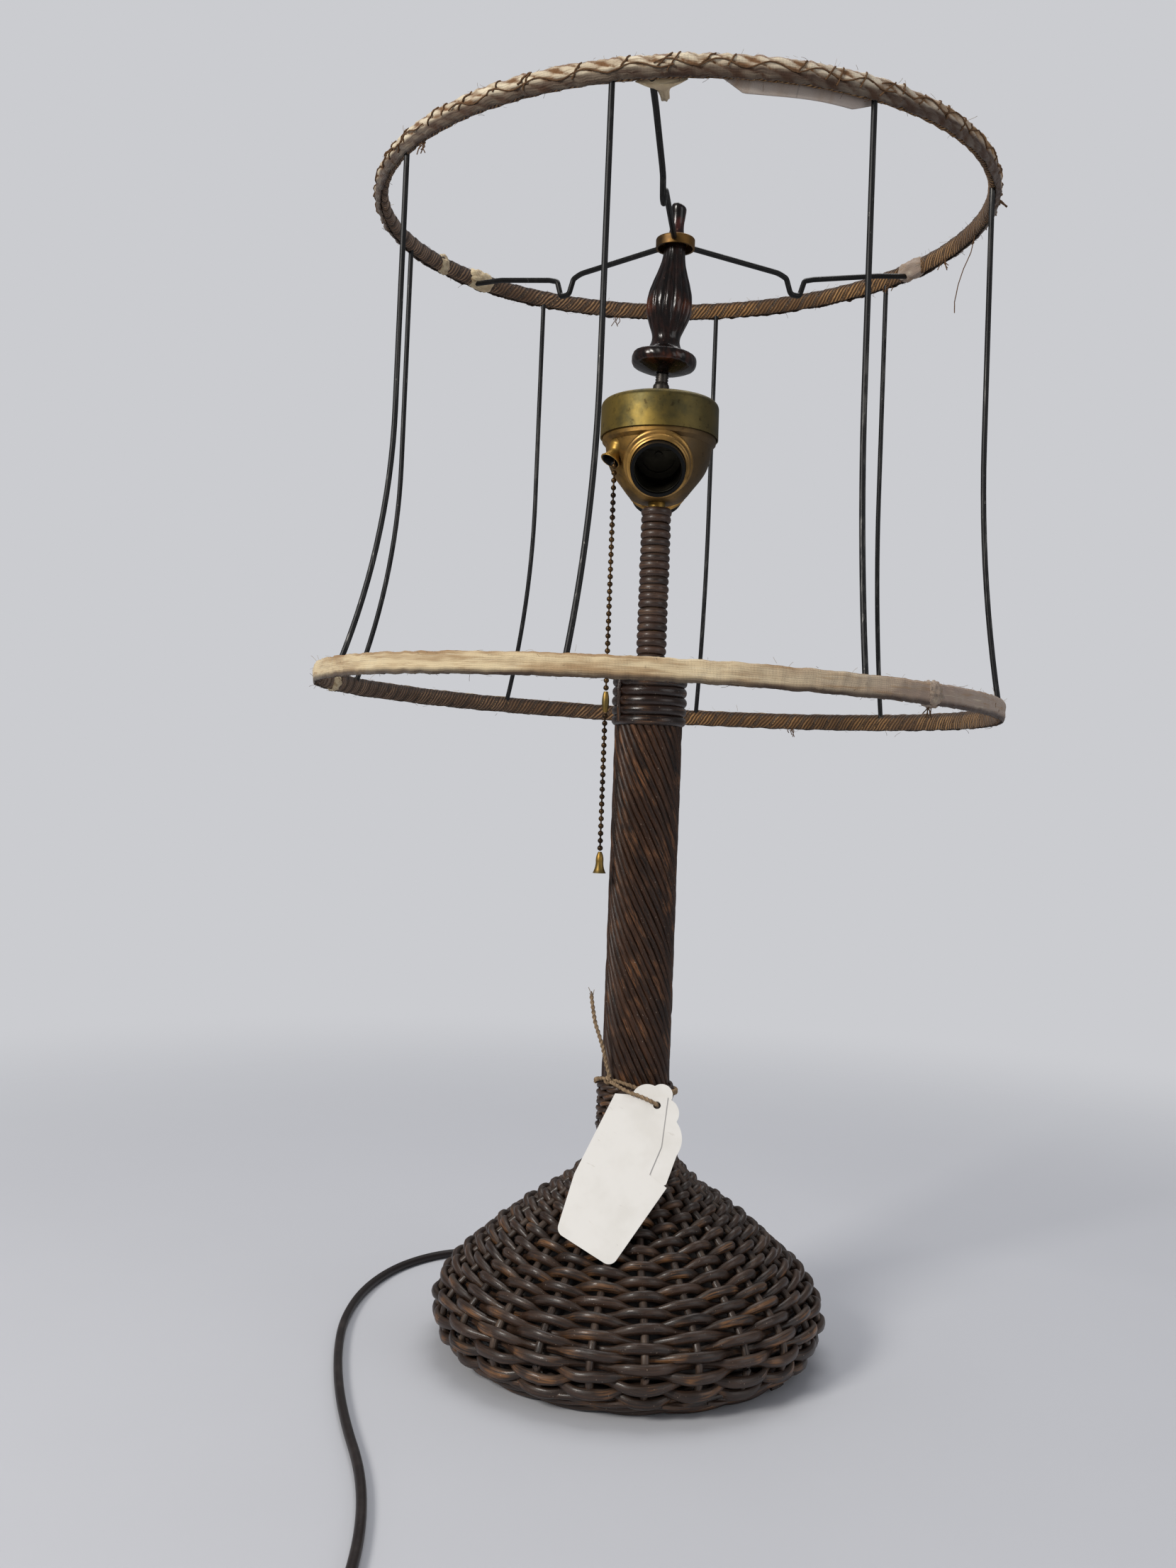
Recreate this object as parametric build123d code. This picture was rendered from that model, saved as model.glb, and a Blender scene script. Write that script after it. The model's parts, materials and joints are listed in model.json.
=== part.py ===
from build123d import *
from math import atan, cos, degrees, pi, radians, sin, sqrt, tan
import os

# Wicker table lamp: woven domed base, reed-wrapped column, two-socket brass
# cluster with a pull chain, turned spindle, and a bare wire shade frame.
# Millimetres. The origin is the centre of the base's underside, +Z runs up the
# column, -Y is the front, where the front socket looks.

os.makedirs("parts", exist_ok=True)

# ---------- clearances ----------
seat_gap = 0.05          # between pieces that are fixed to each other
run_gap = 0.05           # radial, between a pin and the bore that turns on it
free_gap = 0.3           # between pieces that move past each other

# ---------- base ----------
felt_radius = 90.0
felt_thick = 1.0
board_radius = 93.2
board_thick = 12.0
nut_recess_radius = 14.0
nut_recess_depth = 7.0
rim_radius = 108.4       # woven wall where it meets the border
rim_height = 10.8
belly_radius = 114.0     # widest part of the woven wall
belly_height = 26.0
shoulder_radius = 84.0   # where the dome turns into the flare
shoulder_height = 62.0
flare_radius = 50.6      # where the flare is flattest
flare_height = 88.0
throat_radius = 29.3     # where the flare turns up to the column
throat_height = 109.0
foot_radius = 23.5       # woven wall where it meets the column
foot_height = 126.0
weave_reed = 4.6         # reed of the woven rows
weave_rows = 34
weave_lining = 2.2       # thickness of the wall inside the rows' valleys
border_reed = 5.0
border_rise = 0.3        # the border clears the surface by this
border_low_radius = 95.85
border_high_radius = 103.54
border_climb = 6.54      # height of the top row above the lowest
border_rows = 3
stake_count = 24
stake_reed = 3.6
foot_ring_count = 6
foot_ring_reed = 4.6

# ---------- column ----------
column_top = 391.0
column_radius = 19.8     # over the spiral reeds
reed_count = 28
reed_diameter = 3.5
reed_lean = 26.0         # degrees from the column's axis
collar_radius = 22.2
collar_ring_count = 5
collar_reed = 5.6
neck_radius = 8.9
neck_wrap_count = 22
neck_wrap_height = 4.3
neck_top = 491.0
pipe_radius = 5.08
pipe_bore = 3.6
pipe_bottom = 3.0
pipe_top = 503.5
foot_core_radius = 18.1

# ---------- two-socket cluster ----------
cap_radius = 34.8
cap_bottom = 531.7
cap_wall = 0.8
cap_side_top = 549.5
cap_edge_radius = 31.0
cap_edge_height = 553.2
cap_crown = 556.6
bowl_lip_radius = 33.4
bowl_lip_top = 536.0
bowl_shoulder = 527.0
bowl_shoulder_radius = 31.4
bowl_wall = 1.0
bowl_bottom = 494.0
bowl_bottom_radius = 9.4
bowl_low_bend = (20.3, 502.2)      # radius and height on the bowl's curve
bowl_high_bend = (27.4, 512.0)
socket_tilt = 30.0       # degrees below the horizontal
socket_origin = 526.0    # height where the two socket axes cross
collar_start = 17.0      # along the socket axis, from the crossing
collar_end = 35.0
collar_outer = 16.7
collar_wall = 0.9
bead_wire = 0.95
sleeve_start = 16.0
sleeve_end = 41.0
sleeve_outer = 15.6
screw_radius = 13.3      # wall of the shell that takes a standard screw base
screw_wall = 0.35
screw_start = 14.0
screw_end = 38.5
insulator_disc = 3.0
insulator_floor = 1.0    # thickness left under the recess for the tongue
insulator_rim = 3.5      # width of the rim round that recess
insulator_seat = 0.2     # the disc stops this far short of the screw shell
button_radius = 2.4
tongue_width = 6.0
tongue_thick = 0.4

# ---------- pull-chain switch ----------
chain_azimuth = 214.0
chain_radius = 30.5      # the chain hangs this far from the column's axis
spout_top_radius = 28.5
spout_top_height = bowl_shoulder - 1.5
spout_tip_radius = 33.0
spout_drop = 12.0        # from the spout's root to its mouth
spout_tip_height = spout_top_height - spout_drop
spout_bore = 3.2
spout_wall = 0.6
spout_lip_radius = 5.9
flare_room = 0.8         # round the foot of the spout's flare, in the bowl
pull_travel = 8.0
wheel_radius = 6.0       # pitch line that the pull wire leaves
wheel_height = 537.5
wheel_thick = 3.0
wheel_pin = 1.5
switch_depth = 12.0      # along the radius
switch_width = 8.0
switch_bar = 26.0        # its foot reaches out to the bowl's lip
switch_bottom = 531.0
switch_top = 545.0
bead_diameter = 3.2
bead_pitch = 4.35
link_wire = 1.1
pull_wire_radius = 0.5
chain_top = 509.6
connector_top = 381.0
connector_length = 12.0
connector_radius = 2.1
bell_top = 288.5
bell_length = 12.3
bell_radius = 3.85

# ---------- riser, spindle and finial ----------
rod_radius = 3.175
rod_bottom = 546.5
riser_bend = 562.0       # the rod leans above this height
riser_lean = 3.6         # degrees towards +X
lock_nut_radius = 4.8
lock_nut_top = 565.0
inner_nut_radius = 6.4
inner_nut_height = 3.4
spindle_foot = 8.5       # heights along the leaning rod, from the bend
flange_radius = 18.8
flange_under = 13.6
flange_top = 19.6
waist_radius = 8.2
waist_height = 29.5
vase_radius = 13.5
vase_height = 48.0
spindle_neck_radius = 6.3
spindle_neck_height = 77.0
spindle_shoulder = 86.6
finial_base = 89.25
finial_stem_radius = 4.1
finial_foot_radius = 5.0
finial_knob_radius = 5.3
finial_length = 20.4
rod_thread_in_finial = 12.0

# ---------- shade frame ----------
hub_offset = 5.35        # the leaning rod carries the hub this far to +X
hub_bottom = 644.6
hub_height = 5.8
hub_radius = 11.5
hub_wall = 1.2
hub_hole = 3.9
top_ring_centre = (9.8, 2.0, 665.8)
top_ring_radius = 175.65
top_ring_tilt = (0.77, -1.2)      # degrees about X and Y
bottom_ring_centre = (3.2, 2.0, 379.7)
bottom_ring_radius = 195.35
bottom_ring_tilt = (0.2, 1.31)
hoop_wire = 1.65
strut_wire = 1.5
strut_azimuths = (-148.0, -102.6, -60.0, -16.0, 38.8, 81.0, 122.3, 165.0)
strut_bend_drop = 0.5    # share of the height that a strut runs straight
arm_wire = 1.65
arm_azimuths = {"near": -95.0, "right": 32.0, "left": 140.0}
notch_start = 80.0       # distance from the hub's centre to the notch
notch_width = 18.0
notch_depth = 12.0
binding_height = 10.5
binding_thick = 4.5
tape_seam = 0.1          # gap where the tape's edges meet, inside the ring
silk_thick = 0.7
silk_height = 10.9

# ---------- tag ----------
card_thick = 0.5
card_apart = 0.3         # between the two cards
card_hole = 2.2
card_corner = 5.0
tag_anchor = (12.7, -32.8, 147.4)     # the cards' hole
tag_lean = 29.4          # degrees that the cards stand off the vertical
front_card_corners = [
    (-23.9, 5.7),
    (-44.4, -40.7),
    (-52.4, -72.5),
    (-21.9, -89.5),
    (6.6, -46.0),
    (-3.1, -39.2),
    (3.0, -23.4),
    (6.0, 5.0),
]
back_card_lobes = [
    ((-14.2, 5.7), (-8.6, 11.7), (-1.4, 11.3)),
    ((-1.4, 11.3), (4.4, 12.4), (8.1, 3.6)),
    ((8.1, 3.6), (12.3, -1.9), (11.2, -8.8)),
    ((11.2, -8.8), (14.4, -17.2), (11.8, -27.5)),
]
back_card_foot = [(6.2, -44.0), (-6.0, -50.0), (-14.2, -24.0)]
twine_radius = 1.0
twine_height = 157.4
twine_loop_radius = 21.0
knot_azimuth = -132.0
knot_radius = 2.6
twine_tail = [(1.0, -0.8, 2.0), (-3.0, -1.6, 17.0), (-8.0, -2.4, 31.0), (-11.5, -2.4, 51.0)]

# ---------- cord ----------
cord_radius = 2.5
cord_rest = 2.7          # height of the cord's centre line on the surface
exit_azimuth = 118.0
exit_height = 16.0
relief_root = 104.0      # distances from the column's axis
relief_tip = 125.0
relief_root_radius = 4.0
relief_tip_radius = 3.4
lead_radius = 2.3
cord_points = [
    (-66.2, 124.5, 15.0),
    (-79.1, 139.8, 8.5),
    (-100.3, 145.5, cord_rest),
    (-123.5, 139.3, cord_rest),
    (-142.8, 121.9, cord_rest),
    (-157.8, 95.9, cord_rest),
    (-167.5, 57.1, cord_rest),
    (-169.0, 12.0, cord_rest),
    (-163.0, -34.0, cord_rest),
    (-152.0, -84.0, cord_rest),
    (-138.0, -131.0, cord_rest),
    (-121.0, -178.0, cord_rest),
    (-111.0, -224.0, cord_rest),
    (-107.0, -270.0, cord_rest),
    (-108.2, -311.5, cord_rest),
]
coil_centre = (-76.0, -330.0)
coil_turn_radius = 27.5  # middle of the coil's turns
coil_width = 15.4
coil_height = 13.0
coil_rise = 1.5          # the tie's band passes below the coil
tie_width = 6.0
tie_thick = 1.2
plug_exit_y = -346.0
plug_root_y = -368.0
plug_length = 27.0
plug_width = 24.0
plug_height = 15.0
blade_length = 16.0
blade_width = 6.3
blade_thick = 1.5
blade_spacing = 12.7

FULL_TURN = 360.0


# ---------- helpers ----------
def turned(*edges):
    """Solid turned about Z from a closed outline of (radius, height) edges."""
    face = make_face(Plane.XZ * (Curve() + list(edges)))
    return revolve(face, Axis.Z, FULL_TURN)


def turned_points(points):
    """Solid turned about Z from straight-sided (radius, height) points."""
    return turned(*Polyline(*points, close=True).edges())


def pipe_solid(outer, bore, low, high):
    """Plain tube about Z between two heights."""
    return turned_points([(bore, low), (outer, low), (outer, high), (bore, high)])


def disc(radius, low, high):
    """Plain disc about Z between two heights."""
    return Pos(0, 0, low) * Cylinder(
        radius, high - low, align=(Align.CENTER, Align.CENTER, Align.MIN)
    )


def wire_solid(path, radius):
    """Round wire of one radius along a path."""
    start = Plane(origin=path @ 0, z_dir=path % 0)
    return sweep(start * Circle(radius), path=path)


def on_azimuth(degrees_round, radius, height=0.0):
    """Point at an azimuth, a distance from the column's axis and a height."""
    turn = radians(degrees_round)
    return Vector(radius * cos(turn), radius * sin(turn), height)


def socket_location(side):
    """Frame whose +Z runs out along a socket's axis: side -1 front, +1 rear."""
    return Pos(0, 0, socket_origin) * Rot(-side * (90.0 + socket_tilt), 0, 0)


def riser_location():
    """Frame whose +Z runs up the leaning rod, from its bend."""
    return Pos(0, 0, riser_bend) * Rot(0, riser_lean, 0)


def ring_location(centre, tilt):
    """Frame of one of the shade's rings."""
    return Pos(*centre) * Rot(tilt[0], tilt[1], 0)


top_ring = ring_location(top_ring_centre, top_ring_tilt)
bottom_ring = ring_location(bottom_ring_centre, bottom_ring_tilt)


def ring_point(ring, radius, azimuth, height=0.0):
    """Point on a ring, given in the ring's own frame."""
    return (ring * Pos(*on_azimuth(azimuth, radius, height))).position


def export(name, shape):
    """Write one sub-part."""
    export_step(shape, f"parts/{name}.step")


# ---------- base ----------
def wall_outline():
    """Curve of the woven wall's rows, from the border to the column's foot."""
    inset = weave_reed / 2
    return Spline(
        (rim_radius - inset, rim_height),
        (belly_radius - inset, belly_height),
        (shoulder_radius - inset, shoulder_height),
        (flare_radius - inset, flare_height),
        (throat_radius - inset, throat_height),
        (foot_radius - inset, foot_height),
    )


def row_places():
    """Middle of each woven row, with the outward direction of the wall there."""
    wall = wall_outline()
    places = []
    for row in range(weave_rows):
        share = (row + 0.5) / weave_rows
        along = wall % share
        places.append((wall @ share, Vector(along.Y, -along.X)))
    return places


def wall_inset(depth, first, last):
    """Points a depth inside the rows' curve, between two shares of its length."""
    wall = wall_outline()
    points = []
    for row in range(weave_rows + 1):
        share = first + (last - first) * row / weave_rows
        along = wall % share
        points.append(wall @ share - Vector(along.Y, -along.X) * depth)
    return points


def base_weave():
    """Woven wall as one shell whose outside has a round rib for each row."""
    wall = wall_outline()
    valleys = []
    for row in range(weave_rows + 1):
        share = row / weave_rows
        along = wall % share
        outward = Vector(along.Y, -along.X)
        valleys.append(wall @ share + outward * 0.1 * weave_reed)
    crowns = [spot + outward * (weave_reed / 2) for spot, outward in row_places()]
    ribs = [
        ThreePointArc(valleys[row], crowns[row], valleys[row + 1])
        for row in range(weave_rows)
    ]
    inside = Spline(*wall_inset(weave_lining, 0.0, 1.0))
    bottom = Line(inside @ 0, valleys[0])
    top = Line(valleys[-1], inside @ 1)
    wall_solid = turned(bottom, *ribs, top, inside)
    return wall_solid - relief_cutter()


def base_border():
    """Thick rows that edge the woven wall at the bottom."""
    low = border_rise + border_reed / 2
    rows = []
    for row in range(border_rows):
        share = row / (border_rows - 1)
        radius = border_low_radius + (border_high_radius - border_low_radius) * share
        rows.append(Pos(0, 0, low + border_climb * share) * Torus(radius, border_reed / 2))
    return Compound(children=rows)


def base_stakes():
    """Upright stakes that the rows are woven on, just inside the wall."""
    inset = weave_lining + stake_reed / 2 + 3 * seat_gap
    path = Plane.XZ * Spline(*wall_inset(inset, 0.02, 0.9))
    stake = wire_solid(path, stake_reed / 2)
    first = exit_azimuth + FULL_TURN / stake_count / 2
    return PolarLocations(0, stake_count, start_angle=first) * stake


def base_felt():
    """Felt disc that the lamp stands on."""
    return disc(felt_radius, 0, felt_thick)


def base_board():
    """Turned wooden board in the base, recessed below for the pipe's nut."""
    top = felt_thick + board_thick
    board = disc(board_radius, felt_thick, top)
    board = fillet(board.edges().group_by(Axis.Z)[-1], 2.0)
    board -= disc(nut_recess_radius, felt_thick, felt_thick + nut_recess_depth)
    return board - disc(pipe_radius + seat_gap, 0, top)


def foot_rings():
    """Reed rings wound round the column's foot, above the woven wall."""
    rings = []
    pitch = foot_ring_reed + 2 * seat_gap
    radius = foot_core_radius + seat_gap + foot_ring_reed / 2
    for ring in range(foot_ring_count):
        height = foot_height + pitch * (ring + 0.5)
        rings.append(Pos(0, 0, height) * Torus(radius, foot_ring_reed / 2))
    return Compound(children=rings)


reeds_bottom = foot_height + foot_ring_count * (foot_ring_reed + 2 * seat_gap)
collar_height = collar_ring_count * (collar_reed + seat_gap)
reeds_top = column_top - collar_height
reed_line_radius = column_radius - reed_diameter / 2
core_radius = column_radius - reed_diameter - seat_gap


# ---------- column ----------
def lead_path():
    """Path of the lead from the cord's exit to the pipe and up into the cluster."""
    out = on_azimuth(exit_azimuth, relief_root - seat_gap, exit_height)
    return FilletPolyline(
        out, (0, 0, exit_height), (0, 0, pipe_top + 2.0), radius=8.0
    )


def lead_cutter():
    """Room for the lead through the core and the pipe's wall."""
    return wire_solid(lead_path(), lead_radius + free_gap)


def column_core():
    """Turned core of the column, with a step at the foot and under the collar."""
    bottom = felt_thick + board_thick
    collar_core = collar_radius - collar_reed - seat_gap
    core = turned_points(
        [
            (pipe_radius + seat_gap, bottom),
            (foot_core_radius, bottom),
            (foot_core_radius, reeds_bottom),
            (core_radius, reeds_bottom),
            (core_radius, reeds_top),
            (collar_core, reeds_top),
            (collar_core, column_top),
            (pipe_radius + seat_gap, column_top),
        ]
    )
    return core - lead_cutter()


def column_reeds():
    """Reeds that spiral up the column side by side, as a left-hand helix."""
    margin = reed_diameter / 2
    height = reeds_top - reeds_bottom - 2 * margin
    pitch = 2 * pi * reed_line_radius / tan(radians(reed_lean))
    line = Helix(
        pitch, height, reed_line_radius, center=(0, 0, reeds_bottom + margin), lefthand=True
    )
    reed = wire_solid(line, reed_diameter / 2)
    return PolarLocations(0, reed_count) * reed


def collar_rings():
    """Thick reed rings that close the spiral's top."""
    rings = []
    for ring in range(collar_ring_count):
        height = reeds_top + (collar_reed + seat_gap) * (ring + 0.5)
        place = Pos(0, 0, height)
        rings.append(place * Torus(collar_radius - collar_reed / 2, collar_reed / 2))
    return Compound(children=rings)


def neck_wraps():
    """Flattened reed wound round the pipe between the collar and the cluster."""
    low = column_top + seat_gap
    pitch = (neck_top - low) / neck_wrap_count
    half_thick = (neck_radius - pipe_radius - seat_gap) / 2
    rings = []
    for ring in range(neck_wrap_count):
        middle = (neck_radius - half_thick, low + pitch * (ring + 0.5))
        section = Plane.XZ * (Pos(*middle) * Ellipse(half_thick, neck_wrap_height / 2))
        rings.append(revolve(section, Axis.Z, FULL_TURN))
    return Compound(children=rings)


def center_pipe():
    """Threaded pipe that ties the board, the column and the cluster together."""
    pipe = pipe_solid(pipe_radius, pipe_bore, pipe_bottom, pipe_top)
    return pipe - lead_cutter()


def hex_nut(across, bore, low, high):
    """Hexagon nut about Z."""
    nut = Pos(0, 0, low) * extrude(RegularPolygon(across / 2, 6, major_radius=False), high - low)
    return nut - disc(bore, low - 1, high + 1)


def pipe_nuts():
    """Washer and nut under the board, and the nut that holds the bowl down."""
    recess_roof = felt_thick + nut_recess_depth
    washer = pipe_solid(12.0, pipe_radius + seat_gap, recess_roof - 1.2, recess_roof)
    low_nut = hex_nut(14.0, pipe_radius + seat_gap, pipe_bottom, recess_roof - 1.2)
    seat = bowl_bottom + bowl_wall
    bowl_nut = hex_nut(12.4, pipe_radius + seat_gap, seat, seat + 4.0)
    return Compound(children=[washer, low_nut, bowl_nut])


# ---------- two-socket cluster ----------
def bowl_outline(inset):
    """Outline edges of the bowl's outer curve, moved inwards by an inset."""
    low = bowl_bottom + inset
    return Spline(
        (bowl_bottom_radius - inset * 0.5, low),
        (bowl_low_bend[0] - inset * 0.75, bowl_low_bend[1] + inset * 0.6),
        (bowl_high_bend[0] - inset * 0.92, bowl_high_bend[1] + inset * 0.3),
        (bowl_shoulder_radius - inset, bowl_shoulder),
        tangents=((1.0, 0.12), (0.12, 1.0)),
    )


def cluster_bowl():
    """Brass bowl that carries the two sockets and the chain's spout."""
    outer = bowl_outline(0.0)
    inner = bowl_outline(bowl_wall)
    lip_inner = bowl_lip_radius - bowl_wall
    hole = pipe_radius + seat_gap
    edges = [
        Line((hole, bowl_bottom), outer @ 0),
        outer,
        Line(outer @ 1, (bowl_lip_radius, bowl_shoulder + 2.0)),
        Line((bowl_lip_radius, bowl_shoulder + 2.0), (bowl_lip_radius, bowl_lip_top)),
        Line((bowl_lip_radius, bowl_lip_top), (lip_inner, bowl_lip_top)),
        Line((lip_inner, bowl_lip_top), (lip_inner, bowl_shoulder + 2.6)),
        Line((lip_inner, bowl_shoulder + 2.6), inner @ 1),
        inner,
        Line(inner @ 0, (hole, bowl_bottom + bowl_wall)),
        Line((hole, bowl_bottom + bowl_wall), (hole, bowl_bottom)),
    ]
    bowl = turned(*edges)
    for side in (-1, 1):
        reach = disc(collar_outer + seat_gap, collar_start - 6.0, collar_end + 30.0)
        bowl -= socket_location(side) * reach
    outer = spout_bore + spout_wall
    bowl -= spout_location() * disc(outer + seat_gap, -3.0, 30.0)
    return bowl - spout_location() * disc(outer + flare_room, spout_length() - 4.2, 30.0)


def cluster_cap():
    """Crowned brass cap that closes the bowl from above."""
    crown_inner = cap_crown - cap_wall
    hole = rod_radius + seat_gap
    outer = [
        Line((cap_radius, cap_bottom), (cap_radius - 0.2, cap_side_top)),
        RadiusArc((cap_radius - 0.2, cap_side_top), (cap_edge_radius, cap_edge_height), -3.9),
        ThreePointArc(
            (cap_edge_radius, cap_edge_height), (18.0, cap_crown - 1.0), (hole, cap_crown)
        ),
    ]
    inner = [
        Line((hole, cap_crown), (hole, crown_inner)),
        ThreePointArc(
            (hole, crown_inner),
            (18.0, crown_inner - 1.0),
            (cap_edge_radius - 0.3, cap_edge_height - cap_wall),
        ),
        Line(
            (cap_edge_radius - 0.3, cap_edge_height - cap_wall),
            (cap_radius - cap_wall, cap_side_top - 0.6),
        ),
        Line(
            (cap_radius - cap_wall, cap_side_top - 0.6),
            (cap_radius - cap_wall, cap_bottom),
        ),
        Line((cap_radius - cap_wall, cap_bottom), (cap_radius, cap_bottom)),
    ]
    return turned(*outer, *inner)


def socket_collar(side):
    """Brass collar of one socket, with a rolled bead round its mouth."""
    bore = collar_outer - collar_wall
    shell = pipe_solid(collar_outer, bore, collar_start, collar_end)
    bead = Pos(0, 0, collar_end) * Torus(collar_outer - 0.1, bead_wire)
    bead -= disc(bore, collar_end - 2.0, collar_end + 2.0)
    return socket_location(side) * (shell + bead)


def socket_sleeve(side):
    """Black insulating sleeve that stands out of one collar."""
    bore = screw_radius + screw_wall + seat_gap
    sleeve = pipe_solid(sleeve_outer, bore, sleeve_start, sleeve_end)
    return socket_location(side) * sleeve


def socket_screw_shell(side):
    """Screw shell of one socket, closed below by its insulating disc."""
    shell = pipe_solid(screw_radius + screw_wall, screw_radius, screw_start, screw_end)
    return socket_location(side) * shell


def socket_contacts():
    """Insulating disc and sprung centre tongue at the bottom of each socket."""
    pieces = []
    for side in (-1, 1):
        low = screw_start - insulator_disc - insulator_seat
        plate = disc(screw_radius + screw_wall, low, low + insulator_disc)
        recess = screw_radius - insulator_rim
        plate -= disc(recess, low + insulator_floor, screw_start)
        seat = Pos(0, 0, low + insulator_floor)
        tongue = seat * Box(
            2 * recess - 2.0,
            tongue_width,
            tongue_thick,
            align=(Align.CENTER, Align.CENTER, Align.MIN),
        )
        button_height = insulator_disc - insulator_floor - insulator_seat
        button = seat * Cylinder(
            button_radius, button_height, align=(Align.CENTER, Align.CENTER, Align.MIN)
        )
        pieces.append(socket_location(side) * (plate + tongue + button))
    return Compound(children=pieces)


def spout_location():
    """Frame whose +Z runs down and out along the chain's spout."""
    start = on_azimuth(chain_azimuth, spout_top_radius, spout_top_height)
    end = on_azimuth(chain_azimuth, spout_tip_radius, spout_tip_height)
    return Plane(origin=start, z_dir=end - start).location


def spout_length():
    """Length of the chain's spout."""
    run = spout_tip_radius - spout_top_radius
    drop = spout_top_height - spout_tip_height
    return sqrt(run * run + drop * drop)


def chain_spout():
    """Short brass spout with a flared mouth for the chain."""
    outer = spout_bore + spout_wall
    length = spout_length()
    flare = length - 4.0
    profile = turned(
        Line((spout_bore, 0), (outer, 0)),
        Line((outer, 0), (outer, flare)),
        ThreePointArc(
            (outer, flare), (outer + 0.6, flare + 2.4), (spout_lip_radius, length)
        ),
        Line((spout_lip_radius, length), (spout_lip_radius - 0.5, length + 0.5)),
        ThreePointArc(
            (spout_lip_radius - 0.5, length + 0.5),
            (spout_bore + 0.6, flare + 2.6),
            (spout_bore, flare),
        ),
        Line((spout_bore, flare), (spout_bore, 0)),
    )
    return spout_location() * profile


# ---------- pull-chain switch ----------
def switch_frame():
    """Frame at the wheel: +X outwards along the chain's azimuth, +Z up."""
    centre = on_azimuth(chain_azimuth, chain_radius - wheel_radius, wheel_height)
    return Pos(*centre) * Rot(0, 0, chain_azimuth)


def switch_body():
    """Switch block seated in the bowl's lip, with the pin that the wheel turns on."""
    near = wheel_thick / 2 + free_gap
    block = Pos(0, near + switch_width / 2, (switch_top + switch_bottom) / 2 - wheel_height)
    body = block * Box(switch_depth, switch_width, switch_top - switch_bottom)
    body += Pos(0, near + switch_width / 2, (switch_bottom - wheel_height) + 2.0) * Box(
        switch_bar, switch_width, 4.0
    )
    pin = Rot(-90, 0, 0) * Cylinder(
        wheel_pin, near + wheel_thick / 2 + 0.8, align=(Align.CENTER, Align.CENTER, Align.MIN)
    )
    body += Pos(0, -wheel_thick / 2 - 0.8, 0) * pin
    placed = switch_frame() * body
    return placed & disc(bowl_lip_radius - bowl_wall - seat_gap, bowl_bottom, cap_crown)


def switch_wheel():
    """Grooved wheel that the pull wire turns."""
    bore = wheel_pin + run_gap
    rim = wheel_radius + 0.2
    half = wheel_thick / 2
    outline = [
        (bore, -half),
        (rim, -half),
        (rim - 1.6, -0.3),
        (rim - 1.6, 0.3),
        (rim, half),
        (bore, half),
    ]
    return switch_frame() * (Rot(-90, 0, 0) * turned_points(outline))


def pull_wire():
    """Wire from the wheel down through the spout, ending in a stop bead."""
    low = chain_top + bead_diameter / 2 + free_gap
    wire = disc(pull_wire_radius, low, wheel_height)
    bead = Pos(0, 0, low) * Sphere(bead_diameter / 2)
    return Pos(*on_azimuth(chain_azimuth, chain_radius)) * (wire + bead)


def bead_run(high, low):
    """Bead chain between two heights, as one turned solid about its own axis."""
    count = max(1, round((high - low) / bead_pitch))
    pitch = (high - low) / count
    radius = bead_diameter / 2
    neck = link_wire / 2
    half = sqrt(radius * radius - neck * neck)
    edges = []
    spot = (0.0, high)
    for bead in range(count):
        middle = high - pitch * (bead + 0.5)
        if bead == 0:
            edges.append(Line(spot, (neck, high)))
            spot = (neck, high)
        edges.append(Line(spot, (neck, middle + half)))
        edges.append(ThreePointArc((neck, middle + half), (radius, middle), (neck, middle - half)))
        spot = (neck, middle - half)
    edges.append(Line(spot, (neck, low)))
    edges.append(Line((neck, low), (0.0, low)))
    edges.append(Line((0.0, low), (0.0, high)))
    return turned(*edges)


def chain_place():
    """Where the chain's axis hangs."""
    return Pos(*on_azimuth(chain_azimuth, chain_radius))


def chain_beads():
    """The chain's two lengths, above and below the connector."""
    upper = bead_run(chain_top, connector_top + seat_gap)
    lower = bead_run(connector_top - connector_length - seat_gap, bell_top + seat_gap)
    return chain_place() * Compound(children=[upper, lower])


def chain_connector():
    """Small barrel that joins the two lengths of chain."""
    half = connector_length / 2
    middle = connector_top - half
    barrel = turned(
        Line((0, middle + half), (1.2, middle + half)),
        ThreePointArc(
            (1.2, middle + half), (connector_radius, middle), (1.2, middle - half)
        ),
        Line((1.2, middle - half), (0, middle - half)),
        Line((0, middle - half), (0, middle + half)),
    )
    return chain_place() * barrel


def chain_bell():
    """Flared pull end at the bottom of the chain."""
    low = bell_top - bell_length
    bell = turned(
        Line((0, bell_top), (1.0, bell_top)),
        ThreePointArc((1.0, bell_top), (2.1, bell_top - 3.2), (2.2, bell_top - 6.0)),
        ThreePointArc((2.2, bell_top - 6.0), (2.7, bell_top - 9.5), (bell_radius, low)),
        Line((bell_radius, low), (bell_radius - 0.6, low)),
        ThreePointArc((bell_radius - 0.6, low), (2.2, low + 2.4), (0.6, low + 3.4)),
        Line((0.6, low + 3.4), (0, low + 3.4)),
        Line((0, low + 3.4), (0, bell_top)),
    )
    return chain_place() * bell


# ---------- riser, spindle and finial ----------
def rod_solid(radius, top):
    """Rod of a radius from inside the cap up its lean to a height along it."""
    straight = disc(radius, rod_bottom, riser_bend)
    bend = Pos(0, 0, riser_bend) * Sphere(radius)
    leaning = riser_location() * disc(radius, 0, top)
    return straight + bend + leaning


def riser_rod():
    """Threaded rod that carries the spindle, the hub and the finial."""
    return rod_solid(rod_radius, finial_base + rod_thread_in_finial)


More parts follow.
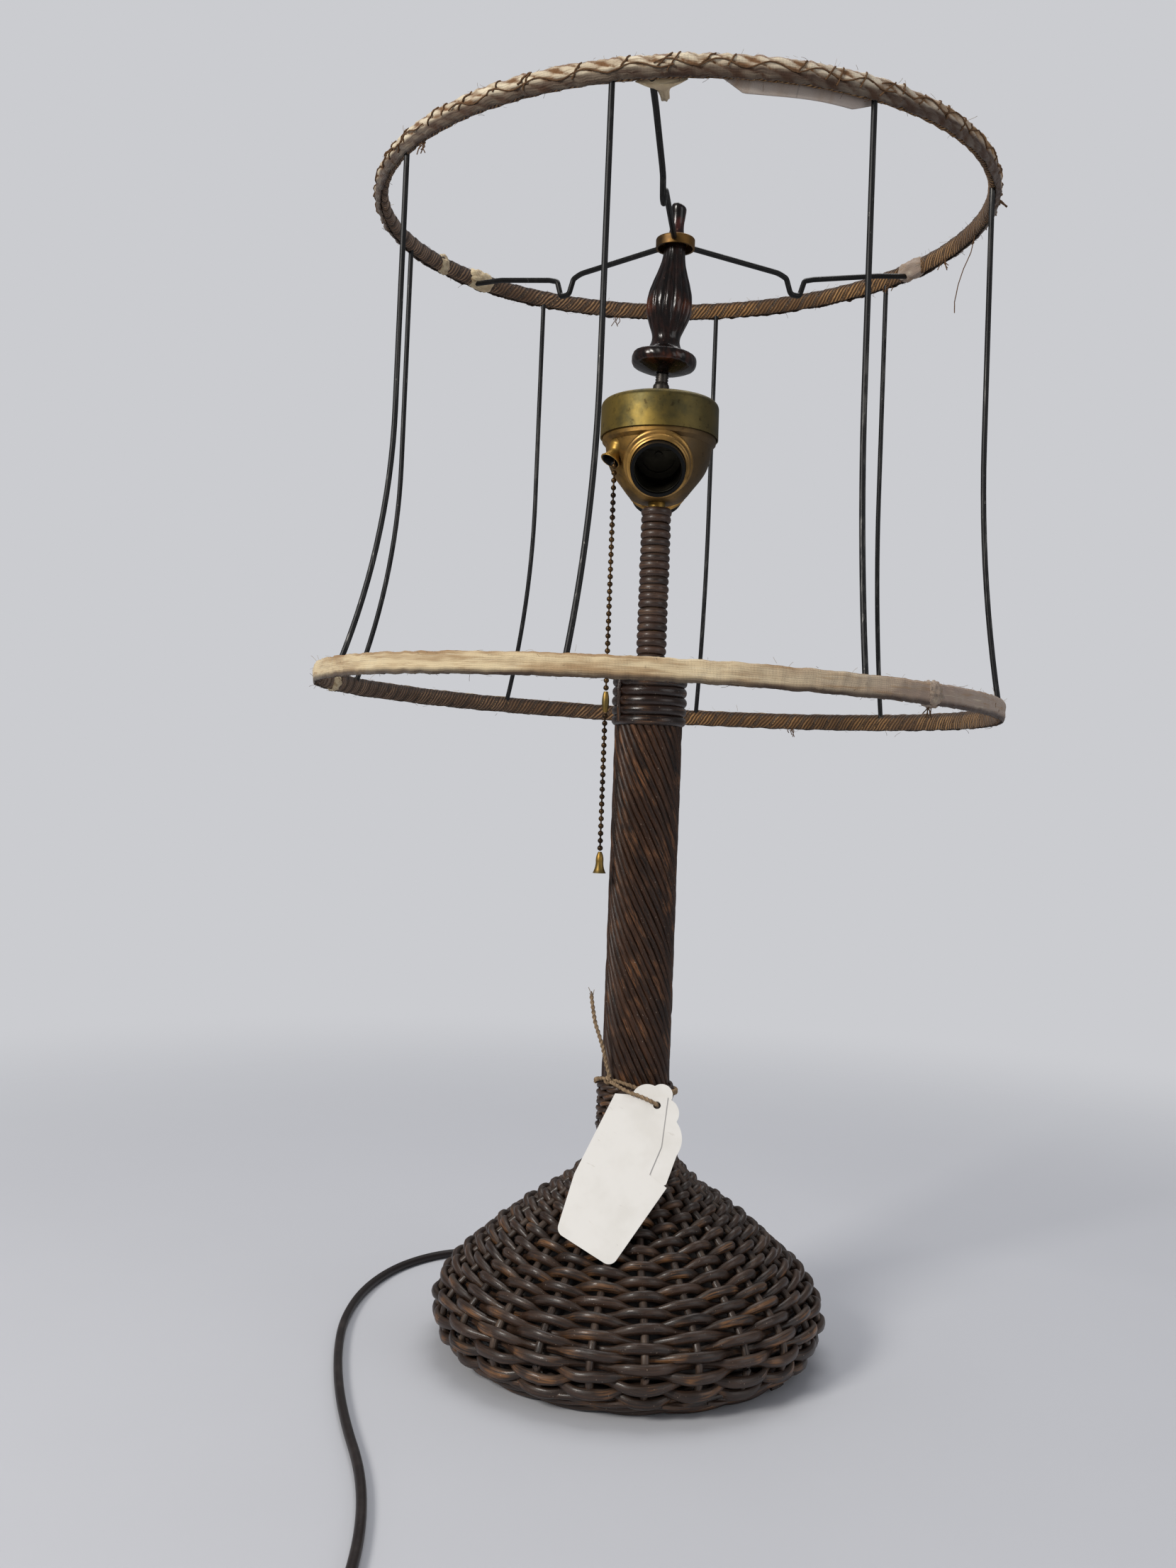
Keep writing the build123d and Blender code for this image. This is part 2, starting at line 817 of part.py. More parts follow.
def rod_nuts():
    """Domed lock nut above the cap and hexagon nut inside it."""
    bore = rod_radius + seat_gap
    base = cap_crown
    shoulder = lock_nut_top - 2.6
    dome = turned(
        Line((bore, base), (lock_nut_radius, base)),
        Line((lock_nut_radius, base), (lock_nut_radius, shoulder)),
        ThreePointArc(
            (lock_nut_radius, shoulder),
            (lock_nut_radius - 0.5, lock_nut_top - 0.9),
            (bore + 0.1, lock_nut_top),
        ),
        Line((bore + 0.1, lock_nut_top), (bore, lock_nut_top)),
        Line((bore, lock_nut_top), (bore, base)),
    )
    dome -= rod_solid(bore, 30.0)
    roof = cap_crown - cap_wall
    inner = hex_nut(2 * inner_nut_radius, bore, roof - inner_nut_height - 0.3, roof - 0.3)
    return Compound(children=[dome, inner])


def spindle():
    """Turned wooden spindle: flange, waist and vase, bored for the rod."""
    bore = rod_radius + seat_gap
    outline = Spline(
        (flange_radius - 0.9, flange_top),
        (waist_radius + 2.6, flange_top + 3.0),
        (waist_radius, waist_height),
        (vase_radius, vase_height),
        (spindle_neck_radius + 3.3, spindle_neck_height - 14.0),
        (spindle_neck_radius, spindle_neck_height),
    )
    wood = turned(
        Line((bore, spindle_foot), (bore + 3.0, spindle_foot)),
        ThreePointArc(
            (bore + 3.0, spindle_foot),
            (flange_radius - 4.5, spindle_foot + 2.6),
            (flange_radius, flange_under),
        ),
        ThreePointArc(
            (flange_radius, flange_under),
            (flange_radius + 0.4, (flange_under + flange_top) / 2),
            (flange_radius - 0.9, flange_top),
        ),
        outline,
        Line((spindle_neck_radius, spindle_neck_height), (spindle_neck_radius, spindle_shoulder)),
        Line((spindle_neck_radius, spindle_shoulder), (bore, spindle_shoulder)),
        Line((bore, spindle_shoulder), (bore, spindle_foot)),
    )
    return riser_location() * wood


def finial():
    """Small turned knob that screws on the rod and holds the shade's hub."""
    bore = rod_radius + run_gap
    depth = rod_thread_in_finial + 0.6
    base = finial_base
    top = base + finial_length
    knob = turned(
        Line((bore, base), (finial_foot_radius, base)),
        ThreePointArc(
            (finial_foot_radius, base),
            (finial_stem_radius + 0.1, base + 3.4),
            (finial_stem_radius, base + 7.0),
        ),
        ThreePointArc(
            (finial_stem_radius, base + 7.0),
            (finial_stem_radius + 0.4, base + 12.5),
            (finial_knob_radius, top - 3.4),
        ),
        ThreePointArc(
            (finial_knob_radius, top - 3.4), (finial_knob_radius - 0.9, top - 1.0), (2.2, top)
        ),
        Line((2.2, top), (0, top)),
        Line((0, top), (0, base + depth)),
        Line((0, base + depth), (bore, base + depth)),
        Line((bore, base + depth), (bore, base)),
    )
    return riser_location() * knob


# ---------- shade frame ----------
def hub_place():
    """Centre of the spider's hub, at the height of its lower edge."""
    return Pos(hub_offset, 0, hub_bottom)


arm_height = hub_height * 0.5


def spider_hub():
    """Shallow brass cup, open below, that the three arms are soldered to."""
    inner = hub_radius - hub_wall
    plate = hub_height - hub_wall
    cup = turned(
        Line((inner, 0), (hub_radius, 0)),
        Line((hub_radius, 0), (hub_radius, hub_height - 1.0)),
        RadiusArc((hub_radius, hub_height - 1.0), (hub_radius - 1.0, hub_height), -1.0),
        Line((hub_radius - 1.0, hub_height), (hub_hole, hub_height)),
        Line((hub_hole, hub_height), (hub_hole, plate)),
        Line((hub_hole, plate), (inner, plate)),
        Line((inner, plate), (inner, 0)),
    )
    return hub_place() * cup


def arm_reach(azimuth):
    """Distance from the hub's centre to the top ring's wire, and its height there."""
    offset = Vector(top_ring_centre[0] - hub_offset, top_ring_centre[1])
    along = on_azimuth(azimuth, 1.0)
    forward = offset.dot(along)
    aside = offset.cross(along).Z
    reach = forward + sqrt(top_ring_radius**2 - aside**2)
    spot = Vector(hub_offset, 0) + along * reach
    slope_x = tan(radians(top_ring_tilt[1]))
    slope_y = tan(radians(top_ring_tilt[0]))
    height = (
        top_ring_centre[2]
        - (spot.X - top_ring_centre[0]) * slope_x
        + (spot.Y - top_ring_centre[1]) * slope_y
    )
    return reach, height


def spider_arm(azimuth, radius=arm_wire):
    """Wire arm from the hub to the top ring, with the notch that lets it flex."""
    reach, height = arm_reach(azimuth)
    rise = height - hoop_wire - arm_wire - (hub_bottom + arm_height)
    end = reach + 0.5
    notch_end = notch_start + notch_width
    bottom = notch_start + notch_width / 2
    stations = [
        (hub_radius + seat_gap, 0.0),
        (notch_start - 4.0, -1.0),
        (notch_start + 2.0, -3.0),
        (bottom - 3.4, -notch_depth),
        (bottom + 3.4, -notch_depth),
        (notch_end - 2.0, -1.6),
        (notch_end + 5.0, 0.8),
        (reach - 26.0, 0.62 * rise + 2.0),
        (end, rise),
    ]
    centre = Vector(hub_offset, 0, hub_bottom + arm_height)
    points = [centre + on_azimuth(azimuth, out, up) for out, up in stations]
    bends = [20.0, 3.0, 3.0, 3.0, 3.0, 3.0, 20.0]
    path = FilletPolyline(*points, radius=bends)
    return wire_solid(path, radius)


def strut_path(azimuth, start):
    """Centre line of one strut, from a distance off each hoop's own line."""
    top = ring_point(top_ring, top_ring_radius, azimuth, -start)
    end = ring_point(bottom_ring, bottom_ring_radius, azimuth, start)
    drop = (top.Z - end.Z) * strut_bend_drop
    aside = (end - top) * 0.04
    bend = Vector(top.X + aside.X, top.Y + aside.Y, top.Z - drop)
    upright = Line(top, bend)
    return Wire([upright, TangentArc(bend, end, tangent=upright % 1)])


def shade_strut(azimuth):
    """One wire strut between the two rings: upright above, flaring out below."""
    return wire_solid(strut_path(azimuth, hoop_wire + 3 * seat_gap), strut_wire)


def strut_room(azimuth):
    """Room for a strut's ends through the rings' tape."""
    return wire_solid(strut_path(azimuth, hoop_wire / 4), strut_wire + 2 * free_gap)


def hoop(ring, radius):
    """Wire ring of the shade."""
    return ring * Torus(radius, hoop_wire)


def binding(ring, radius, wires):
    """Cloth tape wrapped over a ring, with room for the wires that meet it."""
    half_thick = binding_thick / 2
    half_high = binding_height / 2
    section = make_face(
        Polyline(
            (radius - half_thick + 1.0, -half_high),
            (radius + half_thick - 1.0, -half_high),
            (radius + half_thick, -half_high + 1.6),
            (radius + half_thick, half_high - 1.6),
            (radius + half_thick - 1.0, half_high),
            (radius - half_thick + 1.0, half_high),
            (radius - half_thick, half_high - 1.6),
            (radius - half_thick, -half_high + 1.6),
            close=True,
        )
    )
    section -= Pos(radius, 0) * Circle(hoop_wire + seat_gap)
    section -= Pos(radius - half_thick / 2, 0) * Rectangle(half_thick, tape_seam)
    tape = ring * revolve(Plane.XZ * section, Axis.Z, FULL_TURN)
    for wire in wires:
        tape -= wire
    return tape


def silk_strip(ring, radius):
    """Remnant of the silk cover on a ring's outer face."""
    inner = radius + binding_thick / 2 + seat_gap
    half = silk_height / 2
    return ring * pipe_solid(inner + silk_thick, inner, -half, half)


# ---------- tag ----------
def tag_frame():
    """Frame of the cards: origin at their hole, +Y up their face, +Z off it."""
    return Pos(*tag_anchor) * Rot(-tag_lean, 0, 0) * Rot(90, 0, 0)


def tag_cards():
    """The tag's two blank cards, the back one with a scalloped edge."""
    front = make_face(Polyline(*front_card_corners, close=True))
    front = fillet(front.vertices().group_by(Axis.Y)[0], card_corner)
    front = fillet(front.vertices().group_by(Axis.X)[0], card_corner)
    front -= Circle(card_hole)
    lobes = [ThreePointArc(*lobe) for lobe in back_card_lobes]
    straight = Polyline(back_card_lobes[-1][-1], *back_card_foot, back_card_lobes[0][0])
    back = make_face(Curve() + lobes + list(straight.edges()))
    back -= Circle(card_hole)
    cards = [
        extrude(front, card_thick),
        Pos(0, 0, -card_apart - card_thick) * extrude(back, card_thick),
    ]
    return Compound(children=[tag_frame() * item for item in cards])


def knot_spot():
    """Middle of the knot."""
    return on_azimuth(knot_azimuth, twine_loop_radius + knot_radius, twine_height)


def twine_loop():
    """Twine tied round the column above its foot rings, with the knot and its tail."""
    loop = Pos(0, 0, twine_height) * Torus(twine_loop_radius, twine_radius)
    knot = Cylinder(knot_radius, 2 * knot_radius)
    knot = Pos(*knot_spot()) * fillet(knot.edges().filter_by(GeomType.CIRCLE), 0.6 * knot_radius)
    points = [knot_spot() + Vector(*step) for step in twine_tail]
    tail = wire_solid(FilletPolyline(*points, radius=[38.0, 60.0]), twine_radius)
    return loop + knot + tail


def twine_run():
    """Twine from the knot across the front card and into the cards' hole."""
    over = card_thick + twine_radius + seat_gap
    frame = tag_frame()
    across = [(-17.0, 6.8, over + 0.2), (-1.8, 0.9, over + 0.2), (0.0, 0.0, -0.4)]
    points = [(frame * Pos(*spot)).position for spot in across]
    away = (points[0] - knot_spot()).normalized()
    start = knot_spot() + away * (knot_radius + free_gap)
    path = FilletPolyline(start, *points, radius=[6.0, 1.0])
    return wire_solid(path, twine_radius)


# ---------- cord ----------
def relief_frame():
    """Frame whose +Z runs out of the base along the cord's exit."""
    start = on_azimuth(exit_azimuth, 0, exit_height)
    return Plane(origin=start, z_dir=on_azimuth(exit_azimuth, 1.0)).location


def relief_cutter():
    """Hole for the strain relief through the woven wall."""
    return relief_frame() * disc(relief_root_radius + seat_gap, relief_root - 8.0, 130.0)


def cord_relief():
    """Tapered strain relief where the cord leaves the woven wall."""
    body = turned_points(
        [
            (0, relief_root),
            (relief_root_radius, relief_root),
            (relief_root_radius, relief_root + 9.0),
            (relief_tip_radius, relief_tip),
            (0, relief_tip),
        ]
    )
    return relief_frame() * body


def cord_route():
    """Points of the cord's centre line, from the relief's tip to the coil."""
    tip = on_azimuth(exit_azimuth, relief_tip + free_gap, exit_height)
    return [tip] + [Vector(*point) for point in cord_points]


def cord_radii(points):
    """Bend radius for each corner of the route, as large as its runs allow."""
    radii = []
    for before, here, after in zip(points, points[1:], points[2:]):
        run_in = here - before
        run_out = after - here
        turn = radians(run_in.get_angle(run_out))
        radii.append(0.45 * min(run_in.length, run_out.length) / tan(turn / 2))
    return radii


def cord_lead():
    """The cord along the stretch that isn't coiled, and its end to the plug."""
    route = cord_route()
    radii = cord_radii(route)
    path = FilletPolyline(*route, radius=radii)
    main = wire_solid(path, cord_radius)
    side = coil_centre[0] + coil_turn_radius + coil_width / 2 - cord_radius
    tail = Line((side, plug_exit_y, cord_rest + 3.0), (side, plug_root_y, cord_rest + 3.0))
    end = wire_solid(tail, cord_radius)
    runs = [(b - a).length for a, b in zip(route, route[1:])]
    print("cord radii", [round(r, 1) for r in radii])
    print("cord runs", [round(r, 1) for r in runs], "path", round(path.length, 1))
    print("volume over section times length", main.volume / (pi * cord_radius**2 * path.length))
    return Compound(children=[main, end])


def cord_coil():
    """Outer shape of the wound-up rest of the cord."""
    section = Pos(coil_turn_radius, coil_rise + coil_height / 2) * RectangleRounded(
        coil_width, coil_height, 4.0
    )
    return Pos(*coil_centre) * revolve(Plane.XZ * section, Axis.Z, FULL_TURN)


def coil_tie():
    """Band that ties the coil."""
    bend = tie_width * tie_width / (8 * (coil_turn_radius - coil_width / 2))
    wide = coil_width + 2 * bend + 2 * seat_gap
    high = coil_height + 2 * seat_gap
    hole = Plane.XZ * RectangleRounded(wide, high, 4.0)
    band = Plane.XZ * RectangleRounded(wide + 2 * tie_thick, high + 2 * tie_thick, 5.0)
    loop = extrude(band - hole, tie_width / 2, both=True)
    place = Pos(coil_centre[0] + coil_turn_radius, coil_centre[1], coil_rise + coil_height / 2)
    turn = Pos(*coil_centre) * Rot(0, 0, 80.0) * Pos(-coil_centre[0], -coil_centre[1], 0)
    return turn * place * loop


def plug_body():
    """Moulded two-blade plug."""
    side = coil_centre[0] + coil_turn_radius + coil_width / 2 - cord_radius
    rest = cord_rest + 3.0
    neck = Plane(origin=(side, plug_root_y, rest), z_dir=(0, -1, 0)) * turned_points(
        [(0, 0), (3.4, 0), (5.4, 12.0), (0, 12.0)]
    )
    body = Pos(side, plug_root_y - 12.0 + 1.0, plug_height / 2 + 0.1) * Box(
        plug_width, plug_length - 12.0, plug_height, align=(Align.CENTER, Align.MAX, Align.CENTER)
    )
    body = fillet(body.edges().filter_by(Axis.Y), 4.0)
    return body + neck


def plug_blades():
    """The plug's two flat blades."""
    side = coil_centre[0] + coil_turn_radius + coil_width / 2 - cord_radius
    root = plug_root_y - plug_length + 1.0
    blades = []
    for hand in (-1, 1):
        place = Pos(side + hand * blade_spacing / 2, root, plug_height / 2 + 0.1)
        blade = place * Box(
            blade_thick, blade_length, blade_width, align=(Align.CENTER, Align.MAX, Align.CENTER)
        )
        blades.append(blade)
    return Compound(children=blades)


def inner_wires():
    """Lead from the cord's exit up the pipe, into the cluster."""
    return wire_solid(lead_path(), lead_radius)


# ---------- write every sub-part ----------
def main():
    """Build and write the whole lamp."""
    export("base_felt", base_felt())
    export("base_board", base_board())
    export("base_weave", base_weave())
    export("base_border", base_border())
    export("base_stakes", Compound(children=list(base_stakes())))
    export("foot_rings", foot_rings())
    export("column_core", column_core())
    export("column_reeds", Compound(children=list(column_reeds())))
    export("collar_rings", collar_rings())
    export("neck_wraps", neck_wraps())
    export("center_pipe", center_pipe())
    export("pipe_nuts", pipe_nuts())
    export("inner_wires", inner_wires())

    export("cluster_bowl", cluster_bowl())
    export("cluster_cap", cluster_cap())
    for side, name in ((-1, "front"), (1, "rear")):
        export(f"{name}_socket_collar", socket_collar(side))
        export(f"{name}_socket_sleeve", socket_sleeve(side))
        export(f"{name}_screw_shell", socket_screw_shell(side))
    export("socket_contacts", socket_contacts())
    export("chain_spout", chain_spout())
    export("switch_body", switch_body())
    export("switch_wheel", switch_wheel())
    export("pull_wire", pull_wire())
    export("chain_beads", chain_beads())
    export("chain_connector", chain_connector())
    export("chain_bell", chain_bell())

    export("riser_rod", riser_rod())
    export("rod_nuts", rod_nuts())
    export("spindle", spindle())
    export("finial", finial())

    export("spider_hub", spider_hub())
    for name, azimuth in arm_azimuths.items():
        export(f"spider_arm_{name}", spider_arm(azimuth))
    export("top_hoop", hoop(top_ring, top_ring_radius))
    export("bottom_hoop", hoop(bottom_ring, bottom_ring_radius))
    strut_rooms = []
    for number, azimuth in enumerate(strut_azimuths, start=1):
        export(f"shade_strut_{number}", shade_strut(azimuth))
        strut_rooms.append(strut_room(azimuth))
    arm_rooms = [spider_arm(azimuth, arm_wire + seat_gap) for azimuth in arm_azimuths.values()]
    export("top_binding", binding(top_ring, top_ring_radius, strut_rooms + arm_rooms))
    export("bottom_binding", binding(bottom_ring, bottom_ring_radius, strut_rooms))
    export("top_silk", silk_strip(top_ring, top_ring_radius))
    export("bottom_silk", silk_strip(bottom_ring, bottom_ring_radius))

    export("tag_cards", tag_cards())
    export("twine_loop", twine_loop())
    export("twine_run", twine_run())

    export("cord_relief", cord_relief())
    export("cord_lead", cord_lead())
    export("cord_coil", cord_coil())
    export("coil_tie", coil_tie())
    export("plug_body", plug_body())
    export("plug_blades", plug_blades())


main()
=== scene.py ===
"""Table lamp with a woven wicker base, a two-socket cluster and a bare shade frame.

The CAD parts are the fixed frame. This script dresses them: it weaves the base, wraps the
column, turns the spindle, tapes the shade's rings and lays the cord, then gives every piece
its finish, the floor, the lights and the camera.
"""

from __future__ import annotations

import json
import logging
import math
import random
from dataclasses import dataclass, field
from enum import Enum
from typing import Callable, Iterable, Sequence

import bmesh
import bpy
from mathutils import Matrix, Vector, noise

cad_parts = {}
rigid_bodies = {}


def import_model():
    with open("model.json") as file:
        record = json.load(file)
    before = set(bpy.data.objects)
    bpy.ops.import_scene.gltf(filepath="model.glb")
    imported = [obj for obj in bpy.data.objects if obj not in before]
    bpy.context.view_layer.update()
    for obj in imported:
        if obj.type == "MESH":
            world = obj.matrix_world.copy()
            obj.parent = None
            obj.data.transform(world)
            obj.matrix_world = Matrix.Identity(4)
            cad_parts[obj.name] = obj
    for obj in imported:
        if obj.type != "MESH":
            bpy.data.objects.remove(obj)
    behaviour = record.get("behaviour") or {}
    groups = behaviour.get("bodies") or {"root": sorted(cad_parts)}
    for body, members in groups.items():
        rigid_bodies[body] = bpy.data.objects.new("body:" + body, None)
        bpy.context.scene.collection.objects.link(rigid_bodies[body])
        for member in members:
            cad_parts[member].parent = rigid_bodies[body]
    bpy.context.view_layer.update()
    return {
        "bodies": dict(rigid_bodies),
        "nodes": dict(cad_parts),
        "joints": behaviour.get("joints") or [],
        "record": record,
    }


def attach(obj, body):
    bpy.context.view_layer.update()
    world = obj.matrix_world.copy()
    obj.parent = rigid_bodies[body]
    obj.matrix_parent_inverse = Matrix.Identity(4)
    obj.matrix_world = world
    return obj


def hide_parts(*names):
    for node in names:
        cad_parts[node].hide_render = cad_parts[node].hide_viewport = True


LOG = logging.getLogger("table_lamp")
MM = 0.001
TAU = math.tau

Colour = tuple[float, float, float, float]
Point = tuple[float, float, float]


# ---------------------------------------------------------------- numbers and colours
def mm(point: Sequence[float]) -> Vector:
    """Return a point given in millimetres as a vector in metres."""
    return Vector([value * MM for value in point])


def srgb(red: float, green: float, blue: float) -> Colour:
    """Turn a display colour into the linear one that shaders use.

    Args:
        red: Red from 0 to 255.
        green: Green from 0 to 255.
        blue: Blue from 0 to 255.

    Returns:
        The linear colour with full alpha.
    """
    linear = []
    for level in (red / 255, green / 255, blue / 255):
        if level <= 0.04045:
            linear.append(level / 12.92)
        else:
            linear.append(((level + 0.055) / 1.055) ** 2.4)
    return (linear[0], linear[1], linear[2], 1.0)


def on_azimuth(degrees: float, radius: float, height: float = 0.0) -> Vector:
    """Point at an azimuth, a distance from the column's axis and a height, in millimetres."""
    turn = math.radians(degrees)
    return Vector((radius * math.cos(turn), radius * math.sin(turn), height))


def frame_at(place: Sequence[float], *turns: tuple[float, str]) -> Matrix:
    """Set up a frame that is moved, then turned about its own axes.

    Args:
        place: Its origin in millimetres.
        turns: Degrees and the axis, X, Y or Z, of each turn in order.

    Returns:
        The frame.
    """
    frame = Matrix.Translation(place)
    for degrees, axis in turns:
        frame = frame @ Matrix.Rotation(math.radians(degrees), 4, axis)
    return frame


def hermite(first: Sequence[float], last: Sequence[float], out: Sequence[float],
            into: Sequence[float], share: float) -> Vector:
    """Find a point of a cubic run between two points with given slopes.

    Args:
        first: Point where the run starts.
        last: Point where it ends.
        out: Slope at the start.
        into: Slope at the end.
        share: Way along the run, from 0 to 1.

    Returns:
        The point there.
    """
    square, cube = share * share, share**3
    start, end = Vector(first), Vector(last)
    return (
        start * (2 * cube - 3 * square + 1)
        + Vector(out) * (cube - 2 * square + share)
        + end * (3 * square - 2 * cube)
        + Vector(into) * (cube - square)
    )


def smooth_profile(knots: Sequence[Sequence[float]], steps: int) -> list[Vector]:
    """Run a smooth line through knots.

    Args:
        knots: Points of two or three coordinates.
        steps: Points made between each pair of knots.

    Returns:
        The points of the line, the knots among them.
    """
    spots = [Vector(knot) for knot in knots]
    slopes = []
    for index in range(len(spots)):
        before = spots[max(index - 1, 0)]
        after = spots[min(index + 1, len(spots) - 1)]
        slopes.append((after - before) * 0.5)
    line = []
    for index in range(len(spots) - 1):
        for step in range(steps):
            share = step / steps
            line.append(
                hermite(spots[index], spots[index + 1], slopes[index], slopes[index + 1], share)
            )
    line.append(spots[-1])
    return line


# ---------------------------------------------------------------- node trees
def maths(operation: str, swapped: bool = False) -> Callable[..., "Value"]:
    """Make a method that adds one Math node on a value and other numbers.

    Args:
        operation: Blender's name for what the node does.
        swapped: Whether the value comes after the other number.

    Returns:
        The method, which gives the node's result.
    """

    def method(value: "Value", *others: object) -> "Value":
        """Add the node.

        Args:
            value: The value whose method this is.
            others: The node's other numbers.

        Returns:
            The node's result.
        """
        numbers = (*others, value) if swapped else (value, *others)
        return value.tree.value("ShaderNodeMath", {"operation": operation},
                                dict(enumerate(numbers)))

    return method


class Value:
    """A number socket of a node tree that Python arithmetic turns into Math nodes."""

    def __init__(self, tree: "Tree", socket: bpy.types.NodeSocket) -> None:
        """Keep the socket and the tree that new nodes go into."""
        self.tree = tree
        self.socket = socket

    __add__ = __radd__ = maths("ADD")
    __sub__ = maths("SUBTRACT")
    __rsub__ = maths("SUBTRACT", swapped=True)
    __mul__ = __rmul__ = maths("MULTIPLY")
    __truediv__ = maths("DIVIDE")
    __pow__ = maths("POWER")
    sine = maths("SINE")
    cosine = maths("COSINE")
    fraction = maths("FRACT")
    size = maths("ABSOLUTE")
    larger = maths("MAXIMUM")

    def __neg__(self) -> "Value":
        """Return the number with its sign turned."""
        return self * -1.0

    def held(self) -> "Value":
        """Return the number held between 0 and 1."""
        settings = {"operation": "MULTIPLY", "use_clamp": True}
        return self.tree.value("ShaderNodeMath", settings, {0: self, 1: 1.0})

    def band(self, low: float, high: float) -> "Value":
        """Rise smoothly from 0 to 1 between two levels.

        Args:
            low: Level below which the result is 0.
            high: Level above which the result is 1.

        Returns:
            The smoothed number.
        """
        settings = {"interpolation_type": "SMOOTHSTEP"}
        return self.tree.value("ShaderNodeMapRange", settings, {0: self, 1: low, 2: high})


class Tree:
    """Adds nodes to one node tree."""

    def __init__(self, tree: bpy.types.NodeTree) -> None:
        """Keep the tree that nodes are added to."""
        self.tree = tree

    def feed(self, socket: bpy.types.NodeSocket, value: object) -> None:
        """Link a socket to another one, or give it a plain value.

        Args:
            socket: Input that is fed.
            value: A number, a colour, a vector or another node's output.
        """
        source = value.socket if isinstance(value, Value) else value
        if isinstance(source, bpy.types.NodeSocket):
            self.tree.links.new(source, socket)
        else:
            socket.default_value = source

    def node(self, kind: str, settings: dict | None = None,
             inputs: dict | None = None) -> bpy.types.Node:
        """Add one node.

        Args:
            kind: Blender's name for the node's type.
            settings: Properties of the node.
            inputs: Values or links by the socket's number or name.

        Returns:
            The new node.
        """
        made = self.tree.nodes.new(kind)
        for name, value in (settings or {}).items():
            setattr(made, name, value)
        for key, value in (inputs or {}).items():
            self.feed(made.inputs[key], value)
        return made

    def value(self, kind: str, settings: dict | None = None, inputs: dict | None = None,
              output: int = 0) -> Value:
        """Add one node that gives a number.

        Args:
            kind: Blender's name for the node's type.
            settings: Properties of the node.
            inputs: Values or links by the socket's number or name.
            output: Number of the output that is read.

        Returns:
            That output.
        """
        return Value(self, self.node(kind, settings, inputs).outputs[output])

    def angle(self, x: object, y: object) -> Value:
        """Return the turn of a direction from +X, in radians."""
        return self.value("ShaderNodeMath", {"operation": "ARCTAN2"}, {0: y, 1: x})

    def vector(self, x: object, y: object, z: object) -> bpy.types.NodeSocket:
        """Join three numbers into a vector."""
        return self.node("ShaderNodeCombineXYZ", None, {0: x, 1: y, 2: z}).outputs[0]

    def parts(self, vector: object) -> tuple[Value, Value, Value]:
        """Split a vector into its three numbers."""
        outputs = self.node("ShaderNodeSeparateXYZ", None, {0: vector}).outputs
        return Value(self, outputs[0]), Value(self, outputs[1]), Value(self, outputs[2])

    def vectors(self, operation: str, first: object, second: object = None,
                scale: object = None) -> bpy.types.NodeSocket:
        """Add one Vector Math node.

        Args:
            operation: Blender's name for what the node does.
            first: The vector.
            second: Another vector, where one is needed.
            scale: A number, where one is needed.

        Returns:
            The vector, or the number, that comes out.
        """
        inputs: dict[object, object] = {0: first}
        if second is not None:
            inputs[1] = second
        if scale is not None:
            inputs["Scale"] = scale
        made = self.node("ShaderNodeVectorMath", {"operation": operation}, inputs)
        return made.outputs["Value" if operation in ("DOT_PRODUCT", "LENGTH") else "Vector"]

    def noise(self, vector: object, scale: float, detail: float = 3.0, roughness: float = 0.55,
              w: object = None) -> Value:
        """Add a noise pattern.

        Args:
            vector: Place that the noise is read at.
            scale: Cells in a metre of the vector.
            detail: Octaves of finer noise.
            roughness: Strength of the finer noise.
            w: Fourth coordinate, where the noise has one.

        Returns:
            The noise from 0 to 1.
        """
        inputs = {"Vector": vector, "Scale": scale, "Detail": detail, "Roughness": roughness}
        if w is None:
            return self.value("ShaderNodeTexNoise", None, inputs)
        inputs["W"] = w
        return self.value("ShaderNodeTexNoise", {"noise_dimensions": "4D"}, inputs)


